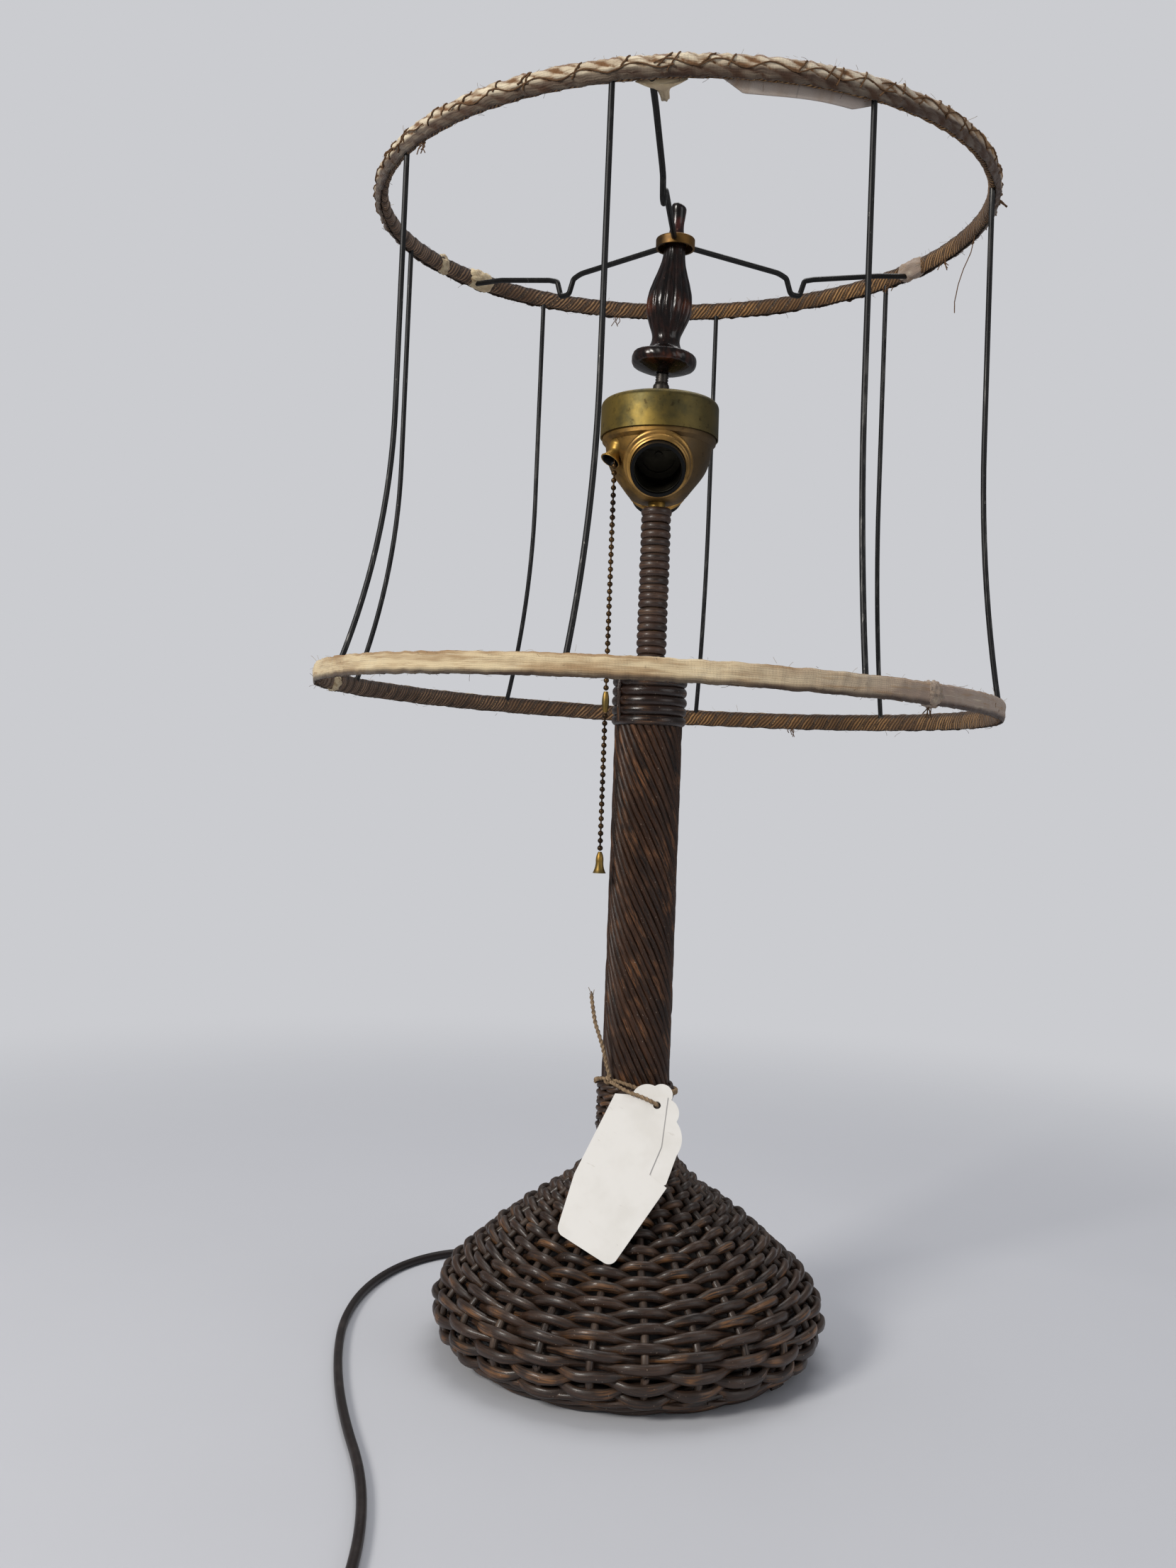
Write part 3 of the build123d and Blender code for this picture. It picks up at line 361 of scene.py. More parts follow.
class Surface(Tree):
    """The node tree of one material round a single shader."""

    def __init__(self, name: str) -> None:
        """Start an empty material.

        Args:
            name: Name of the material.
        """
        self.material = bpy.data.materials.new(name)
        self.material.use_nodes = True
        super().__init__(self.material.node_tree)
        self.tree.nodes.clear()
        self.shader = self.node("ShaderNodeBsdfPrincipled")
        self.node("ShaderNodeOutputMaterial", None, {0: self.shader.outputs[0]})
        self.place = self.node("ShaderNodeTexCoord").outputs["Object"]

    def attribute(self, name: str) -> Value:
        """Return a number stored on the mesh."""
        return self.value("ShaderNodeAttribute", {"attribute_name": name}, None, 2)

    def attribute_vector(self, name: str) -> bpy.types.NodeSocket:
        """Return a vector stored on the mesh."""
        return self.node("ShaderNodeAttribute", {"attribute_name": name}).outputs[1]

    def stretched(self, scale: Point, turn: Point = (0.0, 0.0, 0.0)) -> bpy.types.NodeSocket:
        """Stretch and turn the object's coordinates.

        Args:
            scale: Cells in a metre along each axis.
            turn: Degrees about each axis.

        Returns:
            The place to read a grained pattern at.
        """
        angles = tuple(math.radians(angle) for angle in turn)
        made = self.node("ShaderNodeMapping", {"vector_type": "TEXTURE"},
                         {"Vector": self.place, "Rotation": angles,
                          "Scale": tuple(1 / value for value in scale)})
        return made.outputs[0]

    def mix(self, share: object, first: object, second: object) -> bpy.types.NodeSocket:
        """Blend two colours by a share from 0 to 1."""
        made = self.node("ShaderNodeMix", {"data_type": "RGBA"}, {0: share, 6: first, 7: second})
        return made.outputs[2]

    def finish(self, colour: object, roughness: object, height: object = None,
               depth: float = 0.0002, strength: float = 0.5, **constants: object
               ) -> bpy.types.Material:
        """Feed the shader.

        Args:
            colour: Base colour.
            roughness: Roughness.
            height: Height pattern of the bump, if it has one.
            depth: Height of the bump in metres.
            strength: Strength of the bump.
            constants: Other sockets by name, with underscores for the spaces.

        Returns:
            The finished material.
        """
        self.feed(self.shader.inputs["Base Color"], colour)
        self.feed(self.shader.inputs["Roughness"], roughness)
        for name, value in constants.items():
            self.feed(self.shader.inputs[name.replace("_", " ")], value)
        if height is not None:
            bump = self.node("ShaderNodeBump", None,
                             {"Strength": strength, "Distance": depth, "Height": height})
            self.feed(self.shader.inputs["Normal"], bump.outputs[0])
        return self.material


# ---------------------------------------------------------------- finishes
@dataclass(frozen=True)
class ReedFinish:
    """Varnished dark reed with lengthwise fibres, worn crowns, painted glints on the crowns and
    dust in the hollows.

    It reads what the geometry trees store: rim, the direction round the reed's section, seed,
    a number for each reed, and proud, how much a face looks away from the lamp's axis.
    """

    dark: Colour = srgb(20, 13, 9)
    brown: Colour = srgb(66, 45, 31)
    worn: Colour = srgb(156, 106, 58)
    dust: Colour = srgb(98, 86, 76)
    worn_share: float = 0.55
    gloss: float = 0.34
    grain: float = 70.0
    shine: float = 0.45
    coat: float = 0.18

    def material(self, name: str) -> bpy.types.Material:
        """Build the material.

        Args:
            name: Name of the material.

        Returns:
            The finished material.
        """
        made = Surface(name)
        seed = made.attribute("seed")
        rim = made.attribute_vector("rim")
        proud = made.attribute("proud")
        along = made.vectors("SCALE", made.place, scale=self.grain)
        across = made.vectors("SCALE", rim, scale=3.2)
        fibre_place = made.vectors("ADD", along, across)
        fibre = made.noise(fibre_place, 1.0, 4.0, 0.62, seed * 7.3)
        blotch = made.noise(made.place, 55.0, 2.0, 0.5, seed * 1.3)
        tone = made.noise(made.place, 16.0, 1.0, 0.5, seed * 3.1)
        speck = made.noise(made.place, 1100.0, 1.0, 0.5)
        split = made.noise(fibre_place, 2.4, 2.0, 0.5, seed * 5.7)
        shade = (fibre.band(0.3, 0.72) * 0.75 + tone.band(0.35, 0.7) * 0.35).held()
        colour = made.mix(shade, self.dark, self.brown)
        crown = proud.band(0.25, 0.95)
        wear = crown * blotch.band(0.5, 0.68) * fibre.band(0.4, 0.62) * self.worn_share
        colour = made.mix(wear, colour, self.worn)
        dusty = (1.0 - crown) * blotch.band(0.42, 0.7) * 0.28
        colour = made.mix(dusty, colour, self.dust)
        # Painted glints: light specks on the reeds' crowns stand in for highlights.
        painted_glint = speck.band(0.72, 0.8) * crown * 0.6
        colour = made.mix(painted_glint, colour, srgb(176, 158, 140))
        crack = split.band(0.66, 0.72)
        colour = made.mix(crack * 0.7, colour, srgb(14, 10, 8))
        roughness = self.gloss + fibre * 0.22 + dusty * 0.6
        height = fibre * 0.7 - crack * 0.6 + speck * 0.1
        return made.finish(colour, roughness, height, depth=0.00045, strength=0.9,
                           Specular_IOR_Level=self.shine, Coat_Weight=self.coat,
                           Coat_Roughness=0.16)


@dataclass(frozen=True)
class BrassFinish:
    """Aged brass with an olive patina, brown stains, brighter worn patches and, where set, painted
    shade that darkens its right side.
    """

    bright: Colour = srgb(182, 142, 68)
    patina: Colour = srgb(116, 99, 58)
    stain: Colour = srgb(58, 42, 24)
    # Colour and share of the painted shade laid on the right side (+X).
    shade: Colour = srgb(84, 72, 54)
    brass_right_shade: float = 0.0
    stains: float = 0.5
    roughness: float = 0.34

    def material(self, name: str) -> bpy.types.Material:
        """Build the material.

        Args:
            name: Name of the material.

        Returns:
            The finished material.
        """
        made = Surface(name)
        cloud = made.noise(made.place, 38.0, 4.0, 0.6)
        spot = made.noise(made.place, 210.0, 4.0, 0.62)
        pit = made.noise(made.place, 900.0, 2.0, 0.5)
        brushed = made.noise(made.stretched((60.0, 60.0, 1400.0)), 1.0, 3.0, 0.6)
        tone = made.mix(cloud.band(0.36, 0.62), self.patina, self.bright)
        # Painted shade: the right side (+X) is darkened towards the shade colour.
        x, _, _ = made.parts(made.place)
        tone = made.mix(x.band(-0.012, 0.026) * self.brass_right_shade, tone, self.shade)
        colour = made.mix(spot.band(0.58, 0.74) * self.stains, tone, self.stain)
        colour = made.mix(pit.band(0.68, 0.76) * self.stains, colour, self.stain)
        rough = self.roughness + spot * 0.18 + cloud * 0.1
        height = spot * 0.4 + pit * 0.4 + brushed * 0.2
        return made.finish(colour, rough, height, depth=0.00008, strength=0.35, Metallic=0.9)


@dataclass(frozen=True)
class TurnedWoodFinish:
    """Near-black glossy mahogany whose varnish is worn red on the crowns."""

    dark: Colour = srgb(14, 9, 8)
    grain: Colour = srgb(36, 20, 16)
    red: Colour = srgb(104, 50, 24)
    middle: float = 0.0
    spread: float = 0.02
    flange: float = 0.577

    def material(self, name: str) -> bpy.types.Material:
        """Build the material.

        Args:
            name: Name of the material.

        Returns:
            The finished material.
        """
        made = Surface(name)
        grain = made.noise(made.stretched((420.0, 420.0, 26.0)), 1.0, 4.0, 0.6)
        cloud = made.noise(made.place, 60.0, 3.0, 0.55)
        nick = made.noise(made.place, 520.0, 2.0, 0.5)
        height = made.parts(made.place)[2]
        near = 1.0 - ((height - self.middle).size() / self.spread).held()
        colour = made.mix(grain.band(0.4, 0.7), self.dark, self.grain)
        low = 1.0 - ((height - self.flange).size() / 0.006).held()
        worn = (near.band(0.3, 0.95) * 0.5 + low * 0.5 + 0.05) * cloud.band(0.46, 0.64)
        colour = made.mix(worn.held() * grain.band(0.25, 0.55), colour, self.red)
        colour = made.mix(nick.band(0.7, 0.76) * 0.6, colour, srgb(120, 84, 66))
        rough = 0.2 + grain * 0.14 + nick.band(0.6, 0.8) * 0.25
        bump = grain * 0.6 + nick * 0.4
        return made.finish(colour, rough, bump, depth=0.00015, Specular_IOR_Level=0.3,
                           Coat_Weight=0.3, Coat_Roughness=0.08)


@dataclass(frozen=True)
class WireFinish:
    """Drawn steel wire, streaked lengthwise with light where its dark skin has worn off and as
    painted sheen.
    """

    dark: Colour = srgb(38, 38, 39)
    light: Colour = srgb(132, 130, 126)
    rubbed_and_sheen: float = 0.35
    metal: float = 0.7
    roughness: float = 0.38

    def material(self, name: str) -> bpy.types.Material:
        """Build the material.

        Args:
            name: Name of the material.

        Returns:
            The finished material.
        """
        made = Surface(name)
        streak = made.noise(made.stretched((900.0, 900.0, 16.0)), 1.0, 3.0, 0.6)
        fleck = made.noise(made.stretched((800.0, 800.0, 160.0)), 1.0, 3.0, 0.6)
        cloud = made.noise(made.place, 90.0, 2.0, 0.5)
        # Light streaks and flecks: partly worn metal and partly a painted sheen along the wire.
        rub_and_sheen_mask = streak.band(0.5, 0.66) * cloud.band(0.38, 0.62) * self.rubbed_and_sheen
        colour = made.mix(rub_and_sheen_mask, self.dark, self.light)
        colour = made.mix(fleck.band(0.68, 0.74) * self.rubbed_and_sheen, colour, srgb(176, 172, 164))
        rough = self.roughness + cloud * 0.16 - rub_and_sheen_mask * 0.15
        return made.finish(colour, rough, streak * 0.5 + fleck * 0.5, depth=0.0001,
                           Metallic=self.metal)


@dataclass(frozen=True)
class TapeFinish:
    """Straw-coloured cotton tape, wrapped on the slant in fine pleats, with dirty seams, painted
    highlights on the pleats' crests and painted shade in their hollows and on the tape's
    underside.

    It reads wrap, the share of the way across one turn of the tape, and run.
    """

    # light is the colour of the painted highlight on the pleats' crests.
    light: Colour = srgb(208, 166, 110)
    straw: Colour = srgb(134, 96, 56)
    # Colour of the painted shade in the pleats' hollows.
    dirt_and_shade: Colour = srgb(38, 25, 15)
    grey: Colour = srgb(108, 84, 70)
    pleats: float = 4.0

    def material(self, name: str) -> bpy.types.Material:
        """Build the material.

        Args:
            name: Name of the material.

        Returns:
            The finished material.
        """
        made = Surface(name)
        wrap = made.attribute("wrap")
        run = made.attribute("run")
        wander = made.noise(made.place, 120.0, 2.0, 0.6)
        ripple = (wrap * (TAU * self.pleats) + wander * 7.0).sine() * 0.5 + 0.5
        fibre = made.noise(made.vector(wrap * 26.0, run * 18.0, wander), 1.0, 4.0, 0.7)
        cloud = made.noise(made.place, 26.0, 3.0, 0.55)
        x, _, _ = made.parts(made.place)
        left = 1.0 - x.band(-0.12, 0.06)
        colour = made.mix(left * 0.85, self.straw, self.grey)
        # Painted highlight on the pleats' crests.
        colour = made.mix(ripple.band(0.55, 1.0) * fibre.band(0.35, 0.7) * 0.8, colour,
                          self.light)
        # Painted shade in the pleats' hollows.
        colour = made.mix((1.0 - ripple).band(0.5, 0.95) * fibre.band(0.2, 0.5) * 0.9, colour,
                          self.dirt_and_shade)
        colour = made.mix(cloud.band(0.46, 0.6) * 0.6, colour, srgb(80, 57, 38))
        # Painted shade: the lower side of the tape's section is darkened.
        _, rim_y, _ = made.parts(made.attribute_vector("rim"))
        colour = made.mix((-rim_y).band(0.3, 0.8) * 0.8, colour, srgb(58, 42, 32))
        seam = (1.0 - wrap).band(0.78, 0.96)
        colour = made.mix(seam * 0.9, colour, srgb(34, 24, 18))
        height = ripple * 0.7 + fibre * 0.4 + wrap * 0.3
        return made.finish(colour, 0.82, height, depth=0.0012, strength=1.0,
                           Specular_IOR_Level=0.25, Sheen_Weight=0.1)


@dataclass(frozen=True)
class SilkFinish:
    """Remnant of shade silk: fine weave, water stains, a lower edge darkened by dirt and painted
    shade, and painted shade in the fold valleys and on the right side.

    It reads edge, the height on the strip from 0 at its lower edge to 1, and run, the way
    along it in metres.
    """

    cream: Colour = srgb(214, 194, 156)
    stain: Colour = srgb(146, 112, 74)
    dirt_and_shade: Colour = srgb(52, 36, 28)
    # grey is the colour of the painted shade on the right side.
    grey: Colour = srgb(146, 128, 118)
    stains: float = 0.7
    # Share of the painted shade that greys the right side.
    silk_right_shade: float = 0.85
    ochre: float = 0.0
    # Share of the painted shade in the fold valleys.
    painted_fold_shade: float = 0.0
    # Where the darkened lower band starts: dirt and painted shade.
    hem: float = 0.66

    def material(self, name: str) -> bpy.types.Material:
        """Build the material.

        Args:
            name: Name of the material.

        Returns:
            The finished material.
        """
        made = Surface(name)
        edge = made.attribute("edge")
        run = made.attribute("run")
        warp = (run * 9500.0).sine() * 0.5 + 0.5
        weft = (edge * 70.0).sine() * 0.5 + 0.5
        streak = made.noise(made.vector(run * 34.0, edge * 4.6, 0.0), 1.0, 4.0, 0.65)
        cloud = made.noise(made.vector(run * 15.0, edge * 1.1, 1.0), 1.0, 3.0, 0.6)
        spot = made.noise(made.vector(run * 160.0, edge * 2.4, 2.0), 1.0, 3.0, 0.6)
        x, y, _ = made.parts(made.place)
        side = x.band(-0.01, 0.17)
        colour = made.mix(cloud.band(0.42, 0.62) * self.stains, self.cream, self.stain)
        # Painted shade: the strip turns grey towards the right side (+X).
        colour = made.mix(side * self.silk_right_shade, colour, self.grey)
        colour = made.mix(streak.band(0.5, 0.68) * 0.6, colour, self.stain)
        colour = made.mix(streak.band(0.42, 0.3) * 0.4, colour, srgb(226, 212, 182))
        fold = made.attribute("fold")
        # Painted shade in the valleys between the folds, in the stain colour.
        valley_shade = (1.0 - fold).band(0.08, 0.5) * cloud.band(0.3, 0.5)
        colour = made.mix(valley_shade * self.painted_fold_shade, colour, self.stain)
        outer = x.band(0.11, 0.15) * (-y).band(-0.02, 0.06) * edge.band(0.35, 0.7)
        colour = made.mix(outer * (cloud.band(0.35, 0.5) * 0.5 + 0.5) * self.ochre, colour,
                          srgb(138, 98, 44))
        # The lower band is darkened, partly dirt and partly painted shade of the ring's underside.
        low = (1.0 - edge).band(self.hem, self.hem + 0.26)
        high = edge.band(0.84, 0.99)
        colour = made.mix((low * (0.6 + streak * 0.6)).held(), colour, self.dirt_and_shade)
        colour = made.mix(high * streak.band(0.4, 0.6) * 0.8, colour, self.stain)
        colour = made.mix(spot.band(0.66, 0.74) * 0.35, colour, self.dirt_and_shade)
        height = streak * 0.8 + warp * 0.12 + weft * 0.12
        return made.finish(colour, 0.72, height, depth=0.001, strength=0.8,
                           Specular_IOR_Level=0.3, Sheen_Weight=0.15)


@dataclass(frozen=True)
class PaperFinish:
    """Smooth white card with faint fibres and slight handling marks."""

    white: Colour = srgb(226, 223, 217)

    def material(self, name: str) -> bpy.types.Material:
        """Build the material.

        Args:
            name: Name of the material.

        Returns:
            The finished material.
        """
        made = Surface(name)
        pulp = made.noise(made.place, 1500.0, 4.0, 0.6)
        cloud = made.noise(made.place, 50.0, 3.0, 0.55)
        mark = made.noise(made.stretched((90.0, 340.0, 340.0), (0.0, 30.0, 0.0)), 1.0, 3.0, 0.6)
        colour = made.mix(cloud.band(0.4, 0.7) * 0.5, self.white, srgb(212, 208, 200))
        colour = made.mix(mark.band(0.66, 0.74) * 0.3, colour, srgb(184, 176, 164))
        return made.finish(colour, 0.62, pulp * 0.6 + cloud * 0.4, depth=0.00006, strength=0.4)


@dataclass(frozen=True)
class TwineFinish:
    """Jute twine: stray lengthwise fibres from straw to brown."""

    light: Colour = srgb(178, 152, 120)
    brown: Colour = srgb(92, 72, 54)

    def material(self, name: str) -> bpy.types.Material:
        """Build the material.

        Args:
            name: Name of the material.

        Returns:
            The finished material.
        """
        made = Surface(name)
        rim = made.attribute_vector("rim")
        across = made.vectors("SCALE", rim, scale=2.6)
        place = made.vectors("ADD", made.vectors("SCALE", made.place, scale=160.0), across)
        fibre = made.noise(place, 1.0, 4.0, 0.68)
        colour = made.mix(fibre.band(0.34, 0.66), self.brown, self.light)
        return made.finish(colour, 0.88, fibre, depth=0.0004, strength=0.9,
                           Specular_IOR_Level=0.2)


@dataclass(frozen=True)
class RubberFinish:
    """Moulded or extruded plastic with faint scuffs and dust."""

    colour: Colour = srgb(26, 21, 20)
    scuff: Colour = srgb(70, 62, 58)
    roughness: float = 0.42
    shine: float = 0.4

    def material(self, name: str) -> bpy.types.Material:
        """Build the material.

        Args:
            name: Name of the material.

        Returns:
            The finished material.
        """
        made = Surface(name)
        cloud = made.noise(made.place, 70.0, 3.0, 0.55)
        scratch = made.noise(made.place, 480.0, 3.0, 0.6)
        colour = made.mix(cloud.band(0.45, 0.75) * 0.35, self.colour, self.scuff)
        colour = made.mix(scratch.band(0.64, 0.72) * 0.35, colour, self.scuff)
        rough = self.roughness + cloud * 0.14
        return made.finish(colour, rough, scratch * 0.6 + cloud * 0.4, depth=0.00008,
                           strength=0.4, Specular_IOR_Level=self.shine)


@dataclass(frozen=True)
class ClothFinish:
    """Pressed or woven cloth: felt under the base, and the braid on inner wires."""

    colour: Colour = srgb(52, 62, 52)
    light: Colour = srgb(84, 94, 82)
    scale: float = 900.0

    def material(self, name: str) -> bpy.types.Material:
        """Build the material.

        Args:
            name: Name of the material.

        Returns:
            The finished material.
        """
        made = Surface(name)
        nap = made.noise(made.place, self.scale, 4.0, 0.7)
        cloud = made.noise(made.place, 40.0, 2.0, 0.5)
        colour = made.mix(nap.band(0.4, 0.65), self.colour, self.light)
        colour = made.mix(cloud.band(0.5, 0.7) * 0.3, colour, self.colour)
        return made.finish(colour, 0.92, nap, depth=0.0004, strength=0.8,
                           Specular_IOR_Level=0.15)


@dataclass(frozen=True)
class PlankFinish:
    """Plain plywood of the base board, with its grain and stained edge."""

    light: Colour = srgb(136, 106, 76)
    dark: Colour = srgb(88, 64, 44)

    def material(self, name: str) -> bpy.types.Material:
        """Build the material.

        Args:
            name: Name of the material.

        Returns:
            The finished material.
        """
        made = Surface(name)
        grain = made.noise(made.stretched((14.0, 260.0, 420.0)), 1.0, 4.0, 0.62)
        colour = made.mix(grain.band(0.38, 0.66), self.dark, self.light)
        return made.finish(colour, 0.66 + grain * 0.14, grain)


# ---------------------------------------------------------------- meshes
def mesh_object(name: str, points: Sequence[Sequence[float]], edges: Sequence[Sequence[int]],
                faces: Sequence[Sequence[int]]) -> bpy.types.Object:
    """Make an object from points, edges and faces.

    Args:
        name: Name of the object and of its mesh.
        points: Its points in millimetres.
        edges: Pairs of points that lines join.
        faces: Points of each face, in order.

    Returns:
        The object, in the scene.
    """
    mesh = bpy.data.meshes.new(name)
    mesh.from_pydata([mm(point) for point in points], list(edges), list(faces))
    mesh.update()
    made = bpy.data.objects.new(name, mesh)
    bpy.context.scene.collection.objects.link(made)
    return made


def grid(columns: int, rows: int, closed: bool = False) -> list[tuple[int, int, int, int]]:
    """Join points that stand in columns with four-sided faces.

    Args:
        columns: How many columns of points.
        rows: Points in each column.
        closed: Whether the last column joins the first.

    Returns:
        The faces, each from a point to the next column and back.
    """
    faces = []
    for column in range(columns if closed else columns - 1):
        here, there = column * rows, (column + 1) % columns * rows
        faces += [(here + row, there + row, there + row + 1, here + row + 1)
                  for row in range(rows - 1)]
    return faces


def two_skins(columns: int, rows: int, closed: bool = False) -> list[tuple[int, ...]]:
    """Join two layers of points that stand in columns, with faces that look apart.

    Args:
        columns: How many columns of points in each layer.
        rows: Points in each column.
        closed: Whether the last column joins the first.

    Returns:
        The faces of both layers.
    """
    half, skin = columns * rows, grid(columns, rows, closed)
    inner = [(a, d, c, b) for a, b, c, d in skin]
    return inner + [(half + b, half + c, half + d, half + a) for a, b, c, d in skin]


def store_numbers(piece: bpy.types.Object, **numbers: Sequence[float]) -> None:
    """Store a number for each point of a mesh.

    Args:
        piece: Object whose mesh carries them.
        numbers: The points' numbers by the name that a finish or a tree reads.
    """
    for name, values in numbers.items():
        stored = piece.data.attributes.new(name, "FLOAT", "POINT")
        stored.data.foreach_set("value", values)


@dataclass
class Paths:
    """Lines that a geometry tree sweeps a section along, each with a seed for its looks."""

    points: list[Vector] = field(default_factory=list)
    edges: list[tuple[int, int]] = field(default_factory=list)
    seeds: list[float] = field(default_factory=list)
    swell: list[float] = field(default_factory=list)

    def add(self, line: Iterable[Sequence[float]], seed: float = 0.0, closed: bool = False,
            swell: Sequence[float] | None = None) -> "Paths":
        """Add one line.

        Args:
            line: Its points in millimetres.
            seed: Number that tells this line's pattern from the others'.
            closed: Whether its end joins its start.
            swell: Thickness at each point as a share of the section, 1 where left out.

        Returns:
            The same set of lines.
        """
        spots = [Vector(point) for point in line]
        start = len(self.points)
        self.points += spots
        self.edges += [(start + i, start + i + 1) for i in range(len(spots) - 1)]
        if closed:
            self.edges.append((start + len(spots) - 1, start))
        self.seeds += [seed] * len(spots)
        self.swell += list(swell) if swell else [1.0] * len(spots)
        return self

    def object(self, name: str) -> bpy.types.Object:
        """Make a mesh of edges that carries the lines' seeds and thickness.

        Args:
            name: Name of the object.

        Returns:
            The object.
        """
        made = mesh_object(name, self.points, self.edges, [])
        store_numbers(made, seed=self.seeds, swell=self.swell)
        return made


def finish_mesh(piece: bpy.types.Object, material: bpy.types.Material) -> bpy.types.Object:
    """Merge doubles, turn the faces outwards, smooth the shading and dress it.

    Args:
        piece: Object whose mesh is finished.
        material: Its finish.

    Returns:
        The same object.
    """
    shape = bmesh.new()
    shape.from_mesh(piece.data)
    bmesh.ops.remove_doubles(shape, verts=shape.verts, dist=1e-6)
    bmesh.ops.recalc_face_normals(shape, faces=shape.faces)
    shape.to_mesh(piece.data)
    shape.free()
    piece.data.polygons.foreach_set("use_smooth", [True] * len(piece.data.polygons))
    piece.data.materials.append(material)
    piece.data.update()
    return piece


def lathe(name: str, profile: Sequence[Sequence[float]], material: bpy.types.Material,
          segments: int, ripple: Callable[[float, float], float] | None = None,
          place: Matrix | None = None) -> bpy.types.Object:
    """Turn a closed body from radius and height pairs.

    Args:
        name: Name of the piece.
        profile: Radius and height, from one pole or rim to the other, in millimetres.
        material: Its finish.
        segments: Faces round the axis.
        ripple: Called with a turn in radians and a height, gives a factor on the radius.
        place: Where the axis goes, in millimetres.

    Returns:
        The finished piece.
    """
    points = []
    for step in range(segments):
        turn = TAU * step / segments
        for radius, height in profile:
            factor = ripple(turn, height) if ripple else 1.0
            spot = Vector((radius * factor * math.cos(turn), radius * factor * math.sin(turn),
                           height))
            points.append(place @ spot if place else spot)
    faces = grid(segments, len(profile), closed=True)
    return finish_mesh(mesh_object(name, points, [], faces), material)


# ---------------------------------------------------------------- geometry trees
class Recipe(Tree):
    """A geometry tree with named number inputs that turns lines into a finished mesh."""

    def __init__(self, name: str, inputs: dict[str, float | int]) -> None:
        """Start a tree with named inputs.

        Args:
            name: Name of the tree.
            inputs: Defaults of its named inputs, whole numbers among them.
        """
        tree = bpy.data.node_groups.new(name, "GeometryNodeTree")
        sockets = tree.interface
        sockets.new_socket("Geometry", in_out="INPUT", socket_type="NodeSocketGeometry")
        for key, number in inputs.items():
            kind = "NodeSocketInt" if isinstance(number, int) else "NodeSocketFloat"
            socket = sockets.new_socket(key, in_out="INPUT", socket_type=kind)
            socket.default_value = number
        sockets.new_socket("Finish", in_out="INPUT", socket_type="NodeSocketMaterial")
        sockets.new_socket("Geometry", in_out="OUTPUT", socket_type="NodeSocketGeometry")
        super().__init__(tree)
        self.start = self.node("NodeGroupInput")

    def input(self, name: str) -> Value:
        """Return a named input as a number."""
        return Value(self, self.start.outputs[name])

    def curves(self) -> bpy.types.NodeSocket:
        """Return the lines that come in, as curves."""
        lines = self.start.outputs["Geometry"]
        return self.node("GeometryNodeMeshToCurve", None, {0: lines}).outputs[0]

    def resampled(self, curve: object, count: str) -> bpy.types.NodeSocket:
        """Give each curve as many even points as a named input says."""
        inputs = {0: curve, "Count": self.input(count)}
        return self.node("GeometryNodeResampleCurve", {"mode": "COUNT"}, inputs).outputs[0]

    def chance(self, low: float, high: float, seed: object) -> Value:
        """Return a random number between two levels for each point."""
        inputs = {2: low, 3: high, "Seed": seed}
        return self.value("FunctionNodeRandomValue", {"data_type": "FLOAT"}, inputs, 1)

    def drift(self, scale: float, detail: float, seed: object, roughness: float = 0.5) -> Value:
        """Return noise at each point's place, from -0.5 to 0.5."""
        return self.noise(self.position, scale, detail, roughness, seed) - 0.5

    def copied(self, points: object, shape: object, **inputs: object) -> bpy.types.NodeSocket:
        """Set a real copy of a shape on each point."""
        made = self.node("GeometryNodeInstanceOnPoints", None, {0: points, 2: shape, **inputs})
        return self.node("GeometryNodeRealizeInstances", None, {0: made.outputs[0]}).outputs[0]

    @property
    def position(self) -> bpy.types.NodeSocket:
        """Each point's place."""
        return self.node("GeometryNodeInputPosition").outputs[0]

    def stored(self, name: str) -> Value:
        """Return a number stored on the geometry."""
        return self.value("GeometryNodeInputNamedAttribute", {"data_type": "FLOAT"}, {0: name})

    def store(self, geometry: object, name: str, value: object,
              kind: str = "FLOAT") -> bpy.types.NodeSocket:
        """Store a number or a vector on the geometry.

        Args:
            geometry: What the number is stored on.
            name: Name it is stored by.
            value: The number or vector.
            kind: Blender's name for its type.

        Returns:
            The geometry with the number on it.
        """
        inputs = {0: geometry, "Name": name, "Value": value}
        made = self.node("GeometryNodeStoreNamedAttribute", {"data_type": kind}, inputs)
        return made.outputs[0]

    def moved(self, geometry: object, offset: object) -> bpy.types.NodeSocket:
        """Shift each point by an offset."""
        return self.node("GeometryNodeSetPosition", None, {0: geometry, 3: offset}).outputs[0]

    def section(self, width: object, height: object, sides: object, lobes: float = 0.0,
                depth: float = 0.0) -> bpy.types.NodeSocket:
        """Make the closed section of a reed, a tape or a twine.

        Args:
            width: Full width of the section in metres.
            height: Full height of the section in metres.
            sides: Points round it.
            lobes: Bulges round it, as two for a twine of two plies.
            depth: How deep the hollows between the bulges are, as a share.

        Returns:
            The section's curve, with the direction round it stored as rim.
        """
        circle = self.node("GeometryNodeCurvePrimitiveCircle", None, {0: sides, 4: 1.0})
        curve = self.store(circle.outputs[0], "rim", self.position, "FLOAT_VECTOR")
        if lobes:
            x, y, _ = self.parts(self.position)
            grow = (self.angle(x, y) * lobes).cosine() * depth
            step = self.vectors("SCALE", self.position, scale=grow)
            curve = self.moved(curve, step)
        half = self.vector(width * 0.5, height * 0.5, 1.0)
        return self.node("GeometryNodeTransform", None, {0: curve, "Scale": half}).outputs[0]

